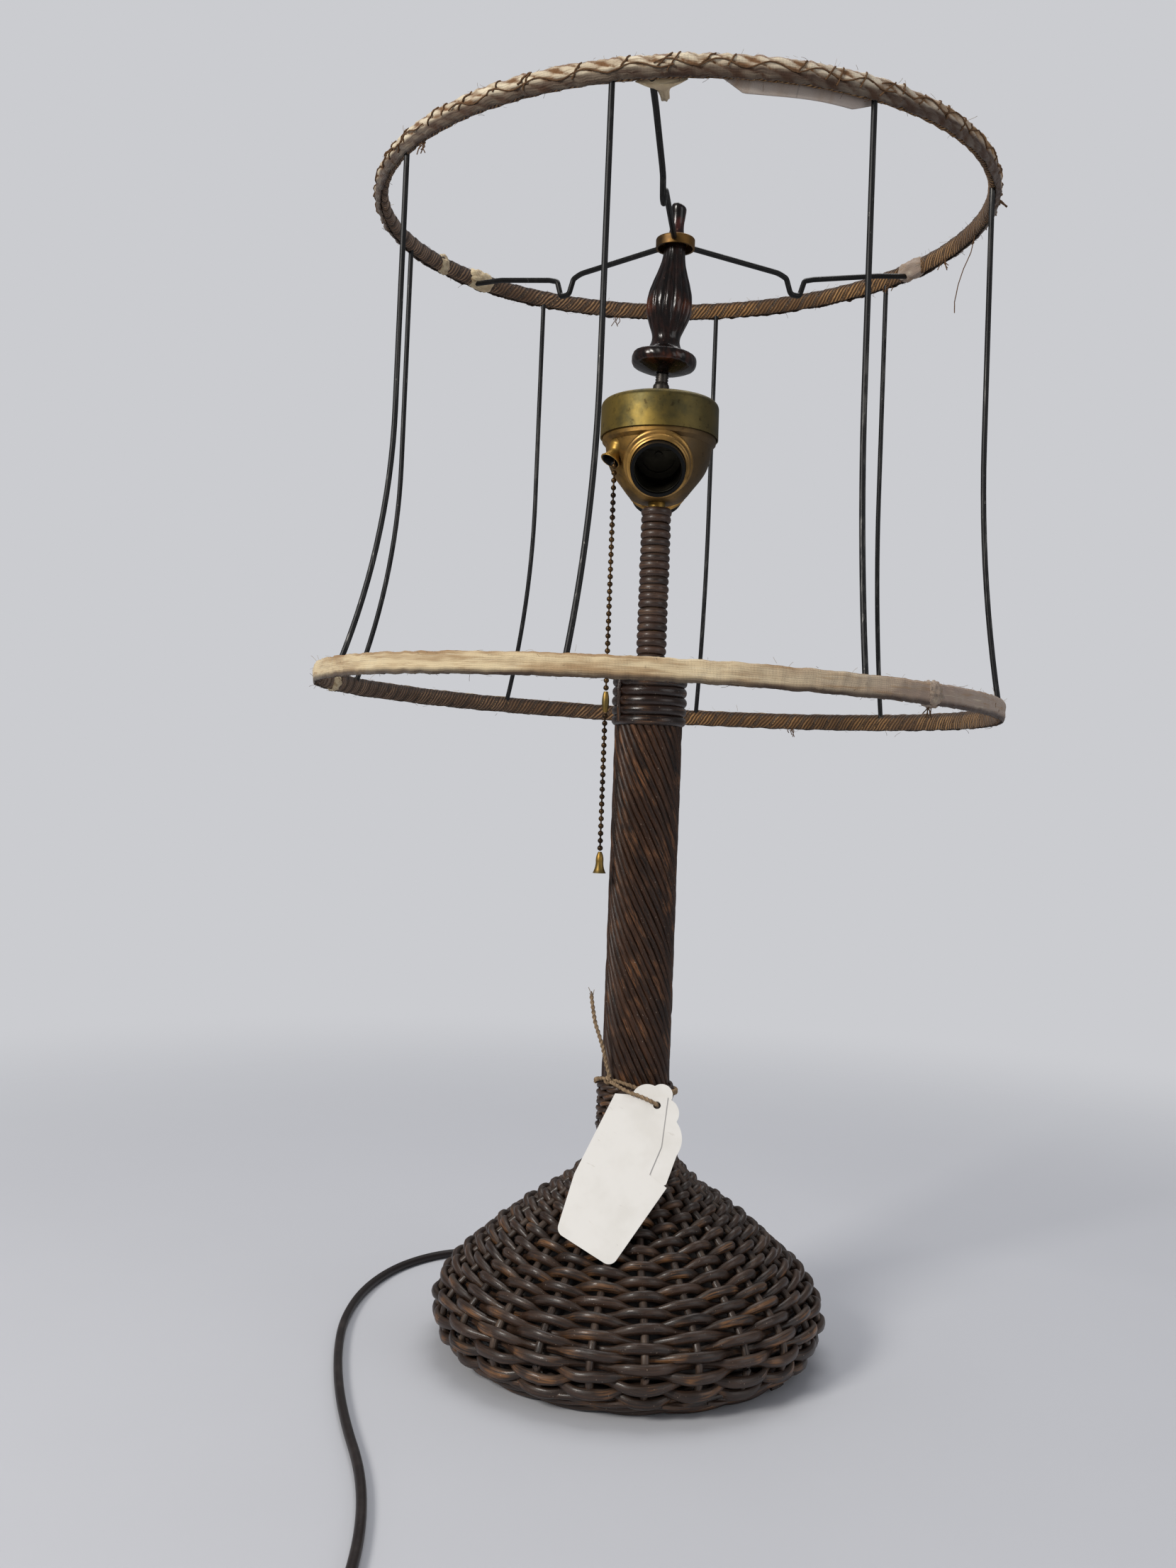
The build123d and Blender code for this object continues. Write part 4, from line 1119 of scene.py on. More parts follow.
    def sweep(self, curve: object, section: object, scale: object) -> bpy.types.NodeSocket:
        """Sweep a section along curves, upright, with closed ends.

        Args:
            curve: The curves.
            section: The closed section.
            scale: Factor on the section at each point.

        Returns:
            The swept mesh.
        """
        upright = self.node("GeometryNodeSetCurveNormal", {"mode": "Z_UP"}, {0: curve})
        made = self.node("GeometryNodeCurveToMesh", None,
                         {0: upright.outputs[0], 1: section, "Scale": scale,
                          "Fill Caps": True})
        return made.outputs[0]

    def outwardness(self, mesh: object) -> bpy.types.NodeSocket:
        """Store how much each face looks away from the lamp's axis as proud.

        Args:
            mesh: The swept mesh.

        Returns:
            The mesh with the number on it.
        """
        x, y, _ = self.parts(self.position)
        away = self.vectors("NORMALIZE", self.vector(x, y, 0.0))
        normal = self.node("GeometryNodeInputNormal").outputs[0]
        facing = self.vectors("DOT_PRODUCT", normal, away)
        return self.store(mesh, "proud", facing)

    def close(self, mesh: object) -> "Recipe":
        """End the tree with smooth shading and its finish.

        Args:
            mesh: The mesh that the tree ends with.

        Returns:
            The same tree.
        """
        smooth = self.node("GeometryNodeSetShadeSmooth", None, {0: mesh})
        dressed = self.node("GeometryNodeSetMaterial", None,
                            {0: smooth.outputs[0], 2: self.start.outputs["Finish"]})
        self.node("NodeGroupOutput", None, {0: dressed.outputs[0]})
        return self

    def make(self, name: str, paths: Paths, material: bpy.types.Material,
             **sizes: float | int) -> bpy.types.Object:
        """Run the tree on lines and keep the result as a plain mesh.

        Args:
            name: Name of the piece.
            paths: The lines.
            material: The piece's finish.
            sizes: Values of the named inputs, with underscores for the spaces.

        Returns:
            The finished piece.
        """
        base = paths.object(f"{name}_line")
        modifier = base.modifiers.new(self.tree.name, "NODES")
        modifier.node_group = self.tree
        wanted = {key.replace("_", " "): value for key, value in sizes.items()}
        for item in self.tree.interface.items_tree:
            if item.item_type != "SOCKET" or item.in_out != "INPUT":
                continue
            if item.name == "Finish":
                modifier[item.identifier] = material
            elif item.name in wanted:
                modifier[item.identifier] = wanted.pop(item.name)
        if wanted:
            raise KeyError(f"{name}: the tree has no input {sorted(wanted)}")
        bpy.context.view_layer.update()
        graph = bpy.context.evaluated_depsgraph_get()
        mesh = bpy.data.meshes.new_from_object(
            base.evaluated_get(graph), preserve_all_data_layers=True, depsgraph=graph
        )
        bpy.data.objects.remove(base, do_unlink=True)
        mesh.name = name
        made = bpy.data.objects.new(name, mesh)
        bpy.context.scene.collection.objects.link(made)
        mesh.materials.clear()
        mesh.materials.append(material)
        return made


class Recipes:
    """The geometry trees that the sub-assemblies share."""

    def __init__(self) -> None:
        """Build every tree once."""
        self.rows = self._rows()
        self.reeds = self._reeds()
        self.tape = self._tape()
        self.beads = self._beads()
        self.fibres = self._fibres()

    @staticmethod
    def _rows() -> Recipe:
        """Rings of reed stacked along a wall line, that may weave in and out of stakes.

        Returns:
            The tree.
        """
        made = Recipe("reed_rows", {
            "Rows": 20, "Samples": 192, "Sides": 8, "Width": 0.004, "Height": 0.0046,
            "Waves": 0.0, "Depth": 0.0, "Phase": 0.0, "Lens": 0.0, "Foot Radius": 0.02,
            "Full Radius": 0.05, "Foot Share": 1.0, "Uneven": 0.0003, "Seed": 1,
        })
        curve = made.resampled(made.curves(), "Rows")
        index = made.value("GeometryNodeInputIndex")
        x, _, z = made.parts(made.position)
        curve = made.store(curve, "row", index)
        curve = made.store(curve, "reach", x)
        lean_x, _, lean_z = made.parts(made.node("GeometryNodeInputTangent").outputs[0])
        curve = made.store(curve, "out_flat", lean_z)
        curve = made.store(curve, "out_high", -lean_x)
        curve = made.node("GeometryNodeSetPosition", None,
                          {0: curve, 2: made.vector(0.0, 0.0, z)}).outputs[0]
        ring = made.node("GeometryNodeCurvePrimitiveCircle", None,
                         {0: made.input("Samples"), 4: 1.0}).outputs[0]
        reach = made.stored("reach")
        real = made.copied(curve, ring, Scale=made.vector(reach, reach, 1.0))
        x, y, _ = made.parts(made.position)
        row = made.stored("row")
        away = made.vectors("NORMALIZE", made.vector(x, y, 0.0))
        seed = made.input("Seed") * 3.7 + row * 1.93
        lump = made.drift(55.0, 2.0, seed)
        climb = made.drift(38.0, 2.0, seed + 40.0)
        wave = (made.angle(x, y) - made.input("Phase")) * made.input("Waves") + row * math.pi
        over = wave.cosine()
        grown = made.value(
            "ShaderNodeMapRange", {"interpolation_type": "SMOOTHSTEP"},
            {0: reach, 1: made.input("Foot Radius"), 2: made.input("Full Radius"),
             3: made.input("Foot Share"), 4: 1.0},
        )
        swing = over * (1.32 - over * over * 0.32) * made.input("Depth") * grown
        uneven = made.input("Uneven")
        flat = swing * made.stored("out_flat") + lump * uneven * 2.0
        shift = made.vectors("SCALE", away, scale=flat)
        high = swing * made.stored("out_high") + climb * uneven * 3.0
        lift = made.vector(0.0, 0.0, high)
        real = made.moved(real, made.vectors("ADD", shift, lift))
        real = made.store(real, "seed", seed)
        scale = 1.0 + made.drift(90.0, 2.0, seed + 80.0) * 0.3 + over * made.input("Lens")
        section = made.section(made.input("Width"), made.input("Height"), made.input("Sides"))
        return made.close(made.outwardness(made.sweep(real, section, scale)))

    @staticmethod
    def _reeds() -> Recipe:
        """Reeds or twine swept along lines, repeated round the lamp's axis.

        Returns:
            The tree.
        """
        made = Recipe("swept_reeds", {
            "Copies": 1, "Samples": 64, "Sides": 8, "Width": 0.0035, "Height": 0.0035,
            "Plies": 0.0, "Twist": 0.0, "Uneven": 0.0, "Jitter": 0.0, "Seed": 1,
        })
        curve = made.resampled(made.curves(), "Samples")
        copies = made.input("Copies")
        spots = made.node("GeometryNodeMeshLine", None, {0: copies, 3: (0.0, 0.0, 0.0)})
        index = made.value("GeometryNodeInputIndex")
        spots = made.store(spots.outputs[0], "copy", index)
        angle = index / copies * TAU
        real = made.copied(spots, curve, Rotation=made.vector(0.0, 0.0, angle))
        seed = made.stored("copy") * 2.17 + made.stored("seed") + made.input("Seed") * 5.0
        real = made.store(real, "seed", seed)
        x_off, y_off = (made.drift(60.0, 2.0, seed + step) * made.input("Uneven")
                        for step in (0.0, 30.0))
        real = made.moved(real, made.vector(x_off, y_off, 0.0))
        along = made.node("GeometryNodeSplineParameter").outputs[1]
        tilt = Value(made, along) * made.input("Twist")
        real = made.node("GeometryNodeSetCurveTilt", None, {0: real, 2: tilt}).outputs[0]
        thick = made.drift(70.0, 2.0, seed + 60.0)
        grown = made.drift(3.0, 0.0, seed * 9.1)
        scale = made.stored("swell") * (1.0 + (thick * 0.5 + grown) * made.input("Jitter"))
        size = [made.input(name) for name in ("Width", "Height", "Sides")]
        pick = made.node("GeometryNodeSwitch", {"input_type": "GEOMETRY"},
                         {"Switch": made.input("Plies"), "False": made.section(*size),
                          "True": made.section(*size, 2.0, 0.24)})
        swept = made.sweep(real, pick.outputs[0], scale)
        return made.close(made.outwardness(swept))

    @staticmethod
    def _tape() -> Recipe:
        """Tape wound on the slant round a ring.

        Returns:
            The tree.
        """
        made = Recipe("wound_tape", {
            "Samples": 900, "Sides": 18, "Width": 0.0045, "Height": 0.0105, "Turns": 100.0,
            "Slant": 2.0, "Lift": 0.0006, "Uneven": 0.0006, "Seed": 1,
        })
        curve = made.resampled(made.curves(), "Samples")
        way = made.node("GeometryNodeSplineParameter")
        curve = made.store(curve, "share", way.outputs[0])
        curve = made.store(curve, "run", way.outputs[1])
        section = made.section(made.input("Width"), made.input("Height"), made.input("Sides"))
        swept = made.sweep(curve, section, 1.0)
        rim = made.node("GeometryNodeInputNamedAttribute", {"data_type": "FLOAT_VECTOR"},
                        {0: "rim"}).outputs[0]
        rim_x, rim_y, _ = made.parts(rim)
        wander = made.drift(14.0, 1.0, made.input("Seed") * 1.7)
        slant = made.angle(rim_x, rim_y) / TAU * made.input("Slant")
        wrap = (made.stored("share") * made.input("Turns") + slant + wander * 1.2).fraction()
        swept = made.store(swept, "wrap", wrap)
        normal = made.node("GeometryNodeInputNormal").outputs[0]
        lump = made.drift(130.0, 3.0, made.input("Seed") * 2.3, 0.6)
        rise = made.stored("wrap") * made.input("Lift") + lump * made.input("Uneven")
        swept = made.moved(swept, made.vectors("SCALE", normal, scale=rise))
        return made.close(swept)

    @staticmethod
    def _beads() -> Recipe:
        """Hollow beads on a thin link wire along a line.

        Returns:
            The tree.
        """
        made = Recipe("bead_chain", {
            "Beads": 30, "Bead Size": 0.0032, "Link Size": 0.0009, "Seed": 1,
        })
        curve = made.curves()
        wire = made.section(made.input("Link Size"), made.input("Link Size"), 6)
        links = made.sweep(curve, wire, 1.0)
        spots = made.resampled(curve, "Beads")
        size = made.input("Bead Size")
        ball = made.node("GeometryNodeMeshUVSphere", None,
                         {0: 16, 1: 10, 2: size * 0.5}).outputs[0]
        vary = made.chance(0.97, 1.02, made.input("Seed"))
        beads = made.copied(spots, ball, Scale=made.vector(vary, vary, vary))
        joined = made.node("GeometryNodeJoinGeometry")
        for part in (links, beads):
            made.tree.links.new(part, joined.inputs[0])
        return made.close(joined.outputs[0])

    @staticmethod
    def _fibres() -> Recipe:
        """Loose fibres that stand off along lines.

        Returns:
            The tree.
        """
        made = Recipe("loose_fibres", {
            "Count": 200, "Length": 0.006, "Size": 0.0002, "Spread": 0.002, "Seed": 1,
        })
        spots = made.resampled(made.curves(), "Count")
        seed = made.input("Seed")
        shifts = [made.chance(-1.0, 1.0, seed + step) * made.input("Spread")
                  for step in (3, 4, 5)]
        spots = made.moved(spots, made.vector(*shifts))
        length = made.input("Length")
        hair = made.node("GeometryNodeCurveQuadraticBezier", None, {
            "Resolution": 5, "Start": (0.0, 0.0, 0.0),
            "Middle": made.vector(0.0, length * 0.2, length * 0.55),
            "End": made.vector(length * 0.15, length * 0.5, length * 0.85),
        }).outputs[0]
        section = made.section(made.input("Size"), made.input("Size"), 4)
        strand = made.sweep(hair, section, 1.0)
        turns = [made.chance(low, high, seed + step)
                 for step, low, high in ((11, -2.6, 2.6), (12, -2.6, 2.6), (13, 0.0, TAU))]
        grow = made.chance(0.35, 1.0, seed + 20)
        return made.close(made.copied(spots, strand, Rotation=made.vector(*turns),
                                      Scale=made.vector(grow, grow, grow)))


# ---------------------------------------------------------------- sub-assemblies
class Palette:
    """Every finish of the lamp, as materials made once."""

    def __init__(self) -> None:
        """Build the materials."""
        self.reed = ReedFinish().material("woven_reed")
        self.stake = ReedFinish(worn_share=0.9, brown=srgb(78, 60, 48),
                                worn=srgb(112, 90, 70)).material("stake_reed")
        self.column = ReedFinish(worn_share=0.5, gloss=0.34, dark=srgb(13, 7, 5),
                                 brown=srgb(70, 44, 27), grain=150.0, shine=0.3, coat=0.06,
                                 worn=srgb(146, 96, 56)).material("column_reed")
        self.collar = ReedFinish(worn_share=0.25, gloss=0.16, dark=srgb(18, 12, 10),
                                 brown=srgb(50, 32, 24)).material("collar_reed")
        self.neck = ReedFinish(worn_share=0.35, dark=srgb(26, 18, 14),
                               brown=srgb(78, 55, 42),
                               worn=srgb(130, 98, 70)).material("neck_reed")
        # The near-black core finish also colours the sheet of painted shade inside the weave.
        self.core = ReedFinish(dark=srgb(14, 10, 8), brown=srgb(30, 21, 17),
                               worn_share=0.0).material("dark_core")
        self.brass = BrassFinish().material("aged_brass")
        # The cap and the bowl carry painted shade on their right side.
        self.cap = BrassFinish(bright=srgb(134, 113, 56), patina=srgb(84, 76, 46),
                               stain=srgb(40, 30, 16), shade=srgb(80, 76, 56), brass_right_shade=0.6,
                               stains=0.7, roughness=0.36).material("olive_brass")
        self.rim = BrassFinish(bright=srgb(196, 152, 84), patina=srgb(138, 108, 64),
                               stains=0.35, roughness=0.24).material("rim_brass")
        self.bowl = BrassFinish(bright=srgb(152, 116, 58), patina=srgb(96, 76, 46),
                                stain=srgb(38, 26, 16), shade=srgb(92, 78, 60), brass_right_shade=0.85,
                                stains=0.6, roughness=0.38).material("golden_brass")
        self.dark_brass = BrassFinish(bright=srgb(92, 70, 44), patina=srgb(46, 36, 28),
                                      stain=srgb(18, 14, 12), stains=0.8,
                                      roughness=0.28).material("dark_brass")
        self.hub = BrassFinish(bright=srgb(124, 92, 48), patina=srgb(62, 48, 34),
                               stains=0.9).material("mottled_brass")
        self.shell = BrassFinish(bright=srgb(70, 66, 54), patina=srgb(34, 32, 28),
                                 stains=0.3).material("shell_brass")
        self.wood = TurnedWoodFinish(middle=0.61, spread=0.012).material("mahogany")
        self.knob = TurnedWoodFinish(middle=0.66, spread=0.016,
                                     red=srgb(104, 52, 44)).material("mahogany_knob")
        self.strut = WireFinish().material("steel_wire")
        self.arm = WireFinish(dark=srgb(16, 15, 15), light=srgb(60, 58, 56), rubbed_and_sheen=0.25,
                              metal=0.4, roughness=0.34).material("black_wire")
        self.steel = WireFinish(dark=srgb(56, 52, 48), light=srgb(120, 114, 104),
                                rubbed_and_sheen=0.5).material("dull_steel")
        self.tape = TapeFinish().material("ring_tape")
        self.silk = SilkFinish().material("cream_silk")
        self.top_silk = SilkFinish(cream=srgb(226, 212, 184), stains=0.4, silk_right_shade=0.5,
                                   ochre=1.0, painted_fold_shade=1.0, hem=0.46, stain=srgb(118, 82, 48),
                                   dirt_and_shade=srgb(60, 39, 25),
                                   grey=srgb(176, 164, 154)).material("pale_silk")
        self.flap = SilkFinish(cream=srgb(190, 178, 166), stains=0.25, silk_right_shade=0.9, hem=0.8,
                               grey=srgb(168, 154, 146)).material("grey_silk")
        self.thread = TwineFinish(light=srgb(128, 96, 66),
                                  brown=srgb(70, 50, 36)).material("brown_thread")
        self.fluff = TwineFinish(light=srgb(216, 206, 190),
                                 brown=srgb(150, 128, 104)).material("pale_fibre")
        self.paper = PaperFinish().material("white_card")
        self.twine = TwineFinish().material("jute_twine")
        self.cord = RubberFinish(colour=srgb(30, 22, 20)).material("cord_sheath")
        self.plug = RubberFinish(colour=srgb(22, 19, 18), roughness=0.36).material("plug_shell")
        self.sleeve = RubberFinish(colour=srgb(4, 4, 4), roughness=0.3, shine=0.2,
                                   scuff=srgb(12, 11, 10)).material("socket_sleeve")
        self.felt = ClothFinish().material("green_felt")
        self.braid = ClothFinish(colour=srgb(62, 50, 38), light=srgb(112, 92, 66),
                                 scale=1600.0).material("wire_braid")
        self.board = PlankFinish().material("base_ply")


class Assembly:
    """What the sub-assemblies share: the frame, the finishes and the geometry trees."""

    name = "assembly"

    def __init__(self, frame: dict, palette: Palette, recipes: Recipes) -> None:
        """Keep what the pieces are made with.

        Args:
            palette: The lamp's finishes.
            recipes: The shared geometry trees.
        """
        self.frame = frame
        self.palette = palette
        self.recipes = recipes

    def dress(self, finishes: dict[str, bpy.types.Material]) -> None:
        """Give CAD nodes their finishes.

        Args:
            finishes: The finish of each node, by the node's name.
        """
        for node, material in finishes.items():
            piece = self.frame["nodes"][node]
            if not piece.material_slots:
                piece.data.materials.append(material)
            for slot in piece.material_slots:
                slot.material = material

    def place(self, piece: bpy.types.Object, body: str, slot: str, *nodes: str) -> None:
        """Set a piece on its body, in place of CAD nodes.

        Args:
            piece: The finished piece.
            body: CAD body that it moves with.
            slot: Not used.
            nodes: CAD nodes that it stands for.
        """
        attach(piece, body)
        if nodes:
            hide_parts(*nodes)
        faces = len(piece.data.polygons) if piece.type == "MESH" else 0
        LOG.info("%s: %s, %d faces", self.name, piece.name, faces)


def twined_ring(radius: float, height: float, twists: int, offset: float, strand: int,
                turn: float = 0.0, count: int = 360) -> list[Vector]:
    """Line of one of two reeds that are twisted round each other on a ring.

    Args:
        radius: Radius of the ring in millimetres.
        height: Its height.
        twists: Full twists round the ring.
        offset: Distance of each reed from the ring's line.
        strand: Which of the two reeds.
        turn: Degrees by which the twist is turned.
        count: Points on the line.

    Returns:
        The line's points.
    """
    line = []
    for step in range(count):
        angle = 360.0 * step / count
        phase = math.radians(angle * twists + 180.0 * strand + turn)
        line.append(on_azimuth(angle, radius + offset * math.cos(phase),
                               height + offset * math.sin(phase)))
    return line


class WovenBase(Assembly):
    """The woven wicker dome: stakes, rows, border, and a dark sheet inside that paints the shade
    seen between them.
    """

    name = "woven base"
    stake_count = 24
    stake_phase = 5.5

    def wall(self, inset: float, first: float = 0.0, last: float = 1.0,
             count: int = 60) -> list[Vector]:
        """Line of the wall at a depth inside its crowns.

        Args:
            inset: Depth in millimetres, towards the axis.
            first: Share of the wall where the line starts.
            last: Share where it ends.
            count: Points on it.

        Returns:
            Points of radius, zero and height.
        """
        line = wall_line()
        spots = []
        for step in range(count):
            share = first + (last - first) * step / (count - 1)
            point, normal = line.at(share)
            spots.append(Vector((point.x - normal.x * inset, 0.0, point.y - normal.y * inset)))
        return spots

    def build(self) -> None:
        """Weave the base."""
        self.stakes()
        self.rows()
        self.border()
        self.painted_shade_lining()
        self.dress({"base_felt": self.palette.felt, "base_board": self.palette.board})

    def stakes(self) -> None:
        """Upright stakes that the rows pass in front of and behind."""
        turned = frame_at((0.0, 0.0, 0.0), (self.stake_phase, "Z"))
        line = [turned @ spot for spot in self.wall(inset=1.7, last=0.9)]
        piece = self.recipes.reeds.make(
            "wicker_stakes", Paths().add(line), self.palette.stake, Copies=self.stake_count,
            Samples=90, Width=4.3 * MM, Height=4.3 * MM, Uneven=0.8 * MM, Jitter=0.25, Seed=3)
        self.place(piece, "lamp", "wicker", "base_stakes")

    def rows(self) -> None:
        """Rows woven over one stake and under the next, in two bands."""
        # Name, share of the wall from and to, rows, samples, height, seed and nodes.
        bands = (("wicker_rows_low", 0.0, 0.46, 16, 312, 5.2, 5, ("base_weave",)),
                 ("wicker_rows_high", 0.49, 1.0, 18, 240, 4.7, 6, ()))
        for name, first, last, rows, samples, height, seed, nodes in bands:
            line = self.wall(2.7, first, last)
            piece = self.recipes.rows.make(
                name, Paths().add(line), self.palette.reed, Rows=rows, Samples=samples, Sides=9,
                Width=3.7 * MM, Height=height * MM, Waves=self.stake_count / 2,
                Depth=3.7 * MM, Lens=0.2, Phase=math.radians(self.stake_phase),
                Foot_Radius=24 * MM, Full_Radius=58 * MM, Foot_Share=0.4, Uneven=1.35 * MM,
                Seed=seed)
            self.place(piece, "lamp", "wicker", *nodes)

    def border(self) -> None:
        """Thick rows of two twisted reeds that close the wall at the bottom."""
        paths = Paths()
        for row in range(3):
            for strand in range(2):
                ring = twined_ring(radius=96.2 + 3.7 * row, height=3.35 + 3.15 * row, twists=9,
                                   offset=1.25, strand=strand, turn=40.0 * row)
                paths.add(ring, row * 2.0 + strand, closed=True)
        piece = self.recipes.reeds.make(
            "wicker_border", paths, self.palette.reed, Samples=420, Sides=10,
            Width=4.4 * MM, Height=3.9 * MM, Uneven=0.9 * MM, Jitter=0.3, Seed=9)
        self.place(piece, "lamp", "wicker", "base_border")
        self.split_ends()

    def split_ends(self) -> None:
        """Short ends of reed that stick out of the border where one reed follows another."""
        paths = Paths()
        random.seed(21)
        for number in range(11):
            turn = random.uniform(0.0, 360.0)
            radius, height = random.choice(((106.0, 8.6), (103.2, 5.4), (99.6, 3.0)))
            line = [on_azimuth(turn + step * 1.9, radius + 0.7 * step,
                               height + random.uniform(-0.3, 0.3)) for step in range(4)]
            paths.add(line, float(number), swell=(0.9, 1.0, 0.8, 0.35))
        piece = self.recipes.reeds.make(
            "border_ends", paths, self.palette.reed, Samples=14, Sides=7,
            Width=3.0 * MM, Height=2.4 * MM, Uneven=0.6 * MM, Jitter=0.4, Seed=4)
        self.place(piece, "lamp", "wicker")

    def painted_shade_lining(self) -> None:
        """Dark sheet inside the weave: painted shade seen in its gaps."""
        outer, inner = ([(spot.x, spot.z) for spot in self.wall(depth, count=40)]
                        for depth in (8.2, 10.2))
        profile = outer + inner[::-1] + outer[:1]
        piece = lathe("wicker_lining", profile, self.palette.core, segments=72)
        self.place(piece, "lamp", "wicker")


@dataclass(frozen=True)
class WallLine:
    """A smooth line in radius and height, with its outward side."""

    points: tuple[Vector, ...]

    def at(self, share: float) -> tuple[Vector, Vector]:
        """Find a place on the line.

        Args:
            share: Way along the line, from 0 to 1.

        Returns:
            The point there and the outward direction.
        """
        runs = [(b - a).length for a, b in zip(self.points, self.points[1:])]
        left = share * sum(runs)
        for index, run in enumerate(runs):
            if left <= run or index == len(runs) - 1:
                part = min(left / run, 1.0)
                here, there = self.points[index], self.points[index + 1]
                way = (there - here).normalized()
                return here.lerp(there, part), Vector((way.y, -way.x))
            left -= run
        raise ValueError("share lies outside the line")


def wall_line() -> WallLine:
    """Draw the woven wall's line, half a reed inside its crowns.

    Returns:
        The line, from the lowest row to the neck.
    """
    # Radius and height, in millimetres.
    knots = ((106.1, 10.8), (110.6, 18.7), (111.5, 27.7), (108.4, 36.2), (102.9, 43.5),
             (96.3, 49.8), (85.8, 58.6), (75.4, 67.5), (64.9, 76.4), (53.7, 84.2),
             (46.3, 89.6), (36.1, 98.7), (27.0, 109.0), (22.9, 117.1), (21.2, 126.0))
    return WallLine(tuple(smooth_profile(knots, 5)))


class WickerColumn(Assembly):
    """The column: foot rings, spiral reeds, collar and neck wraps."""

    name = "column"
    # Reeds side by side, their radius, their slant in degrees, and where they start and end.
    reed_count = 28
    reed_radius = 18.05
    lean = 26.0
    low = 152.6
    high = 364.5

    def build(self) -> None:
        """Wind the column."""
        self.foot()
        self.spiral()
        self.collar()
        self.neck()
        self.dress({
            "column_core": self.palette.core, "center_pipe": self.palette.brass,
            "pipe_nuts": self.palette.steel, "inner_wires": self.palette.braid,
        })

    def stack(self, name: str, radius: float, low: float, high: float, rows: int,
              material: bpy.types.Material, **sizes: float | int) -> bpy.types.Object:
        """Stack rings between two heights.

        Args:
            name: Name of the piece.
            radius: Radius of the rings.
            low: Height of the lowest ring's centre.
            high: Height of the highest ring's centre.
            rows: How many rings.
            material: Their finish.
            sizes: Values of the tree's named inputs.

        Returns:
            The finished piece.
        """
        line = [(radius, 0.0, low + (high - low) * step / (rows - 1)) for step in range(rows)]
        return self.recipes.rows.make(name, Paths().add(line), material, Rows=rows, **sizes)

    def foot(self) -> None:
        """Twined rings at the column's foot."""
        paths = Paths()
        for row in range(6):
            for strand in range(2):
                ring = twined_ring(radius=20.3, height=128.3 + 4.7 * row, twists=8, offset=0.95,
                                   strand=strand, turn=90.0 * row, count=160)
                paths.add(ring, row * 2.0 + strand, closed=True)
        piece = self.recipes.reeds.make(
            "foot_twining", paths, self.palette.reed, Samples=180, Sides=9,
            Width=3.1 * MM, Height=3.3 * MM, Uneven=0.4 * MM, Jitter=0.2, Seed=12)
        self.place(piece, "lamp", "wicker", "foot_rings")

    def spiral(self) -> None:
        """Reeds that climb the column on a slant."""
        climb = self.high - self.low
        turn = climb * math.tan(math.radians(self.lean)) / self.reed_radius
        steps = 80
        line = []
        for step in range(steps + 1):
            share = step / steps
            line.append(on_azimuth(-math.degrees(turn * share), self.reed_radius,
                                   self.low + climb * share))
        piece = self.recipes.reeds.make(
            "spiral_reeds", Paths().add(line), self.palette.column, Copies=self.reed_count,
            Samples=110, Sides=9, Width=3.7 * MM, Height=3.9 * MM, Uneven=1.0 * MM, Jitter=0.5,
            Seed=7)
        self.place(piece, "lamp", "wicker", "column_reeds")

    def collar(self) -> None:
        """Thick glossy rings where the spiral ends."""
        piece = self.stack("collar_bands", radius=19.25, low=365.55, high=388.05, rows=5,
                           material=self.palette.collar, Samples=128, Sides=16,
                           Width=5.3 * MM, Height=6.0 * MM, Uneven=0.35 * MM, Seed=21)
        self.place(piece, "lamp", "wicker", "collar_rings")
        tuck = Paths().add([(-17.2, -12.4, 390.0), (-17.9, -12.9, 383.0), (-17.7, -13.1, 373.0),
                            (-17.2, -12.7, 364.5)], 2.0)
        end = self.recipes.reeds.make("collar_tuck", tuck, self.palette.collar, Samples=16,
                                      Width=2.6 * MM, Height=2.6 * MM)
        self.place(end, "lamp", "wicker")

    def neck(self) -> None:
        """Flat reed wound round the neck below the cluster."""
        piece = self.stack("neck_winding", radius=7.1, low=393.3, high=488.7, rows=22,
                           material=self.palette.neck, Samples=72, Sides=12,
                           Width=3.6 * MM, Height=4.75 * MM, Uneven=0.55 * MM, Seed=33)
        self.place(piece, "lamp", "wicker", "neck_wraps")


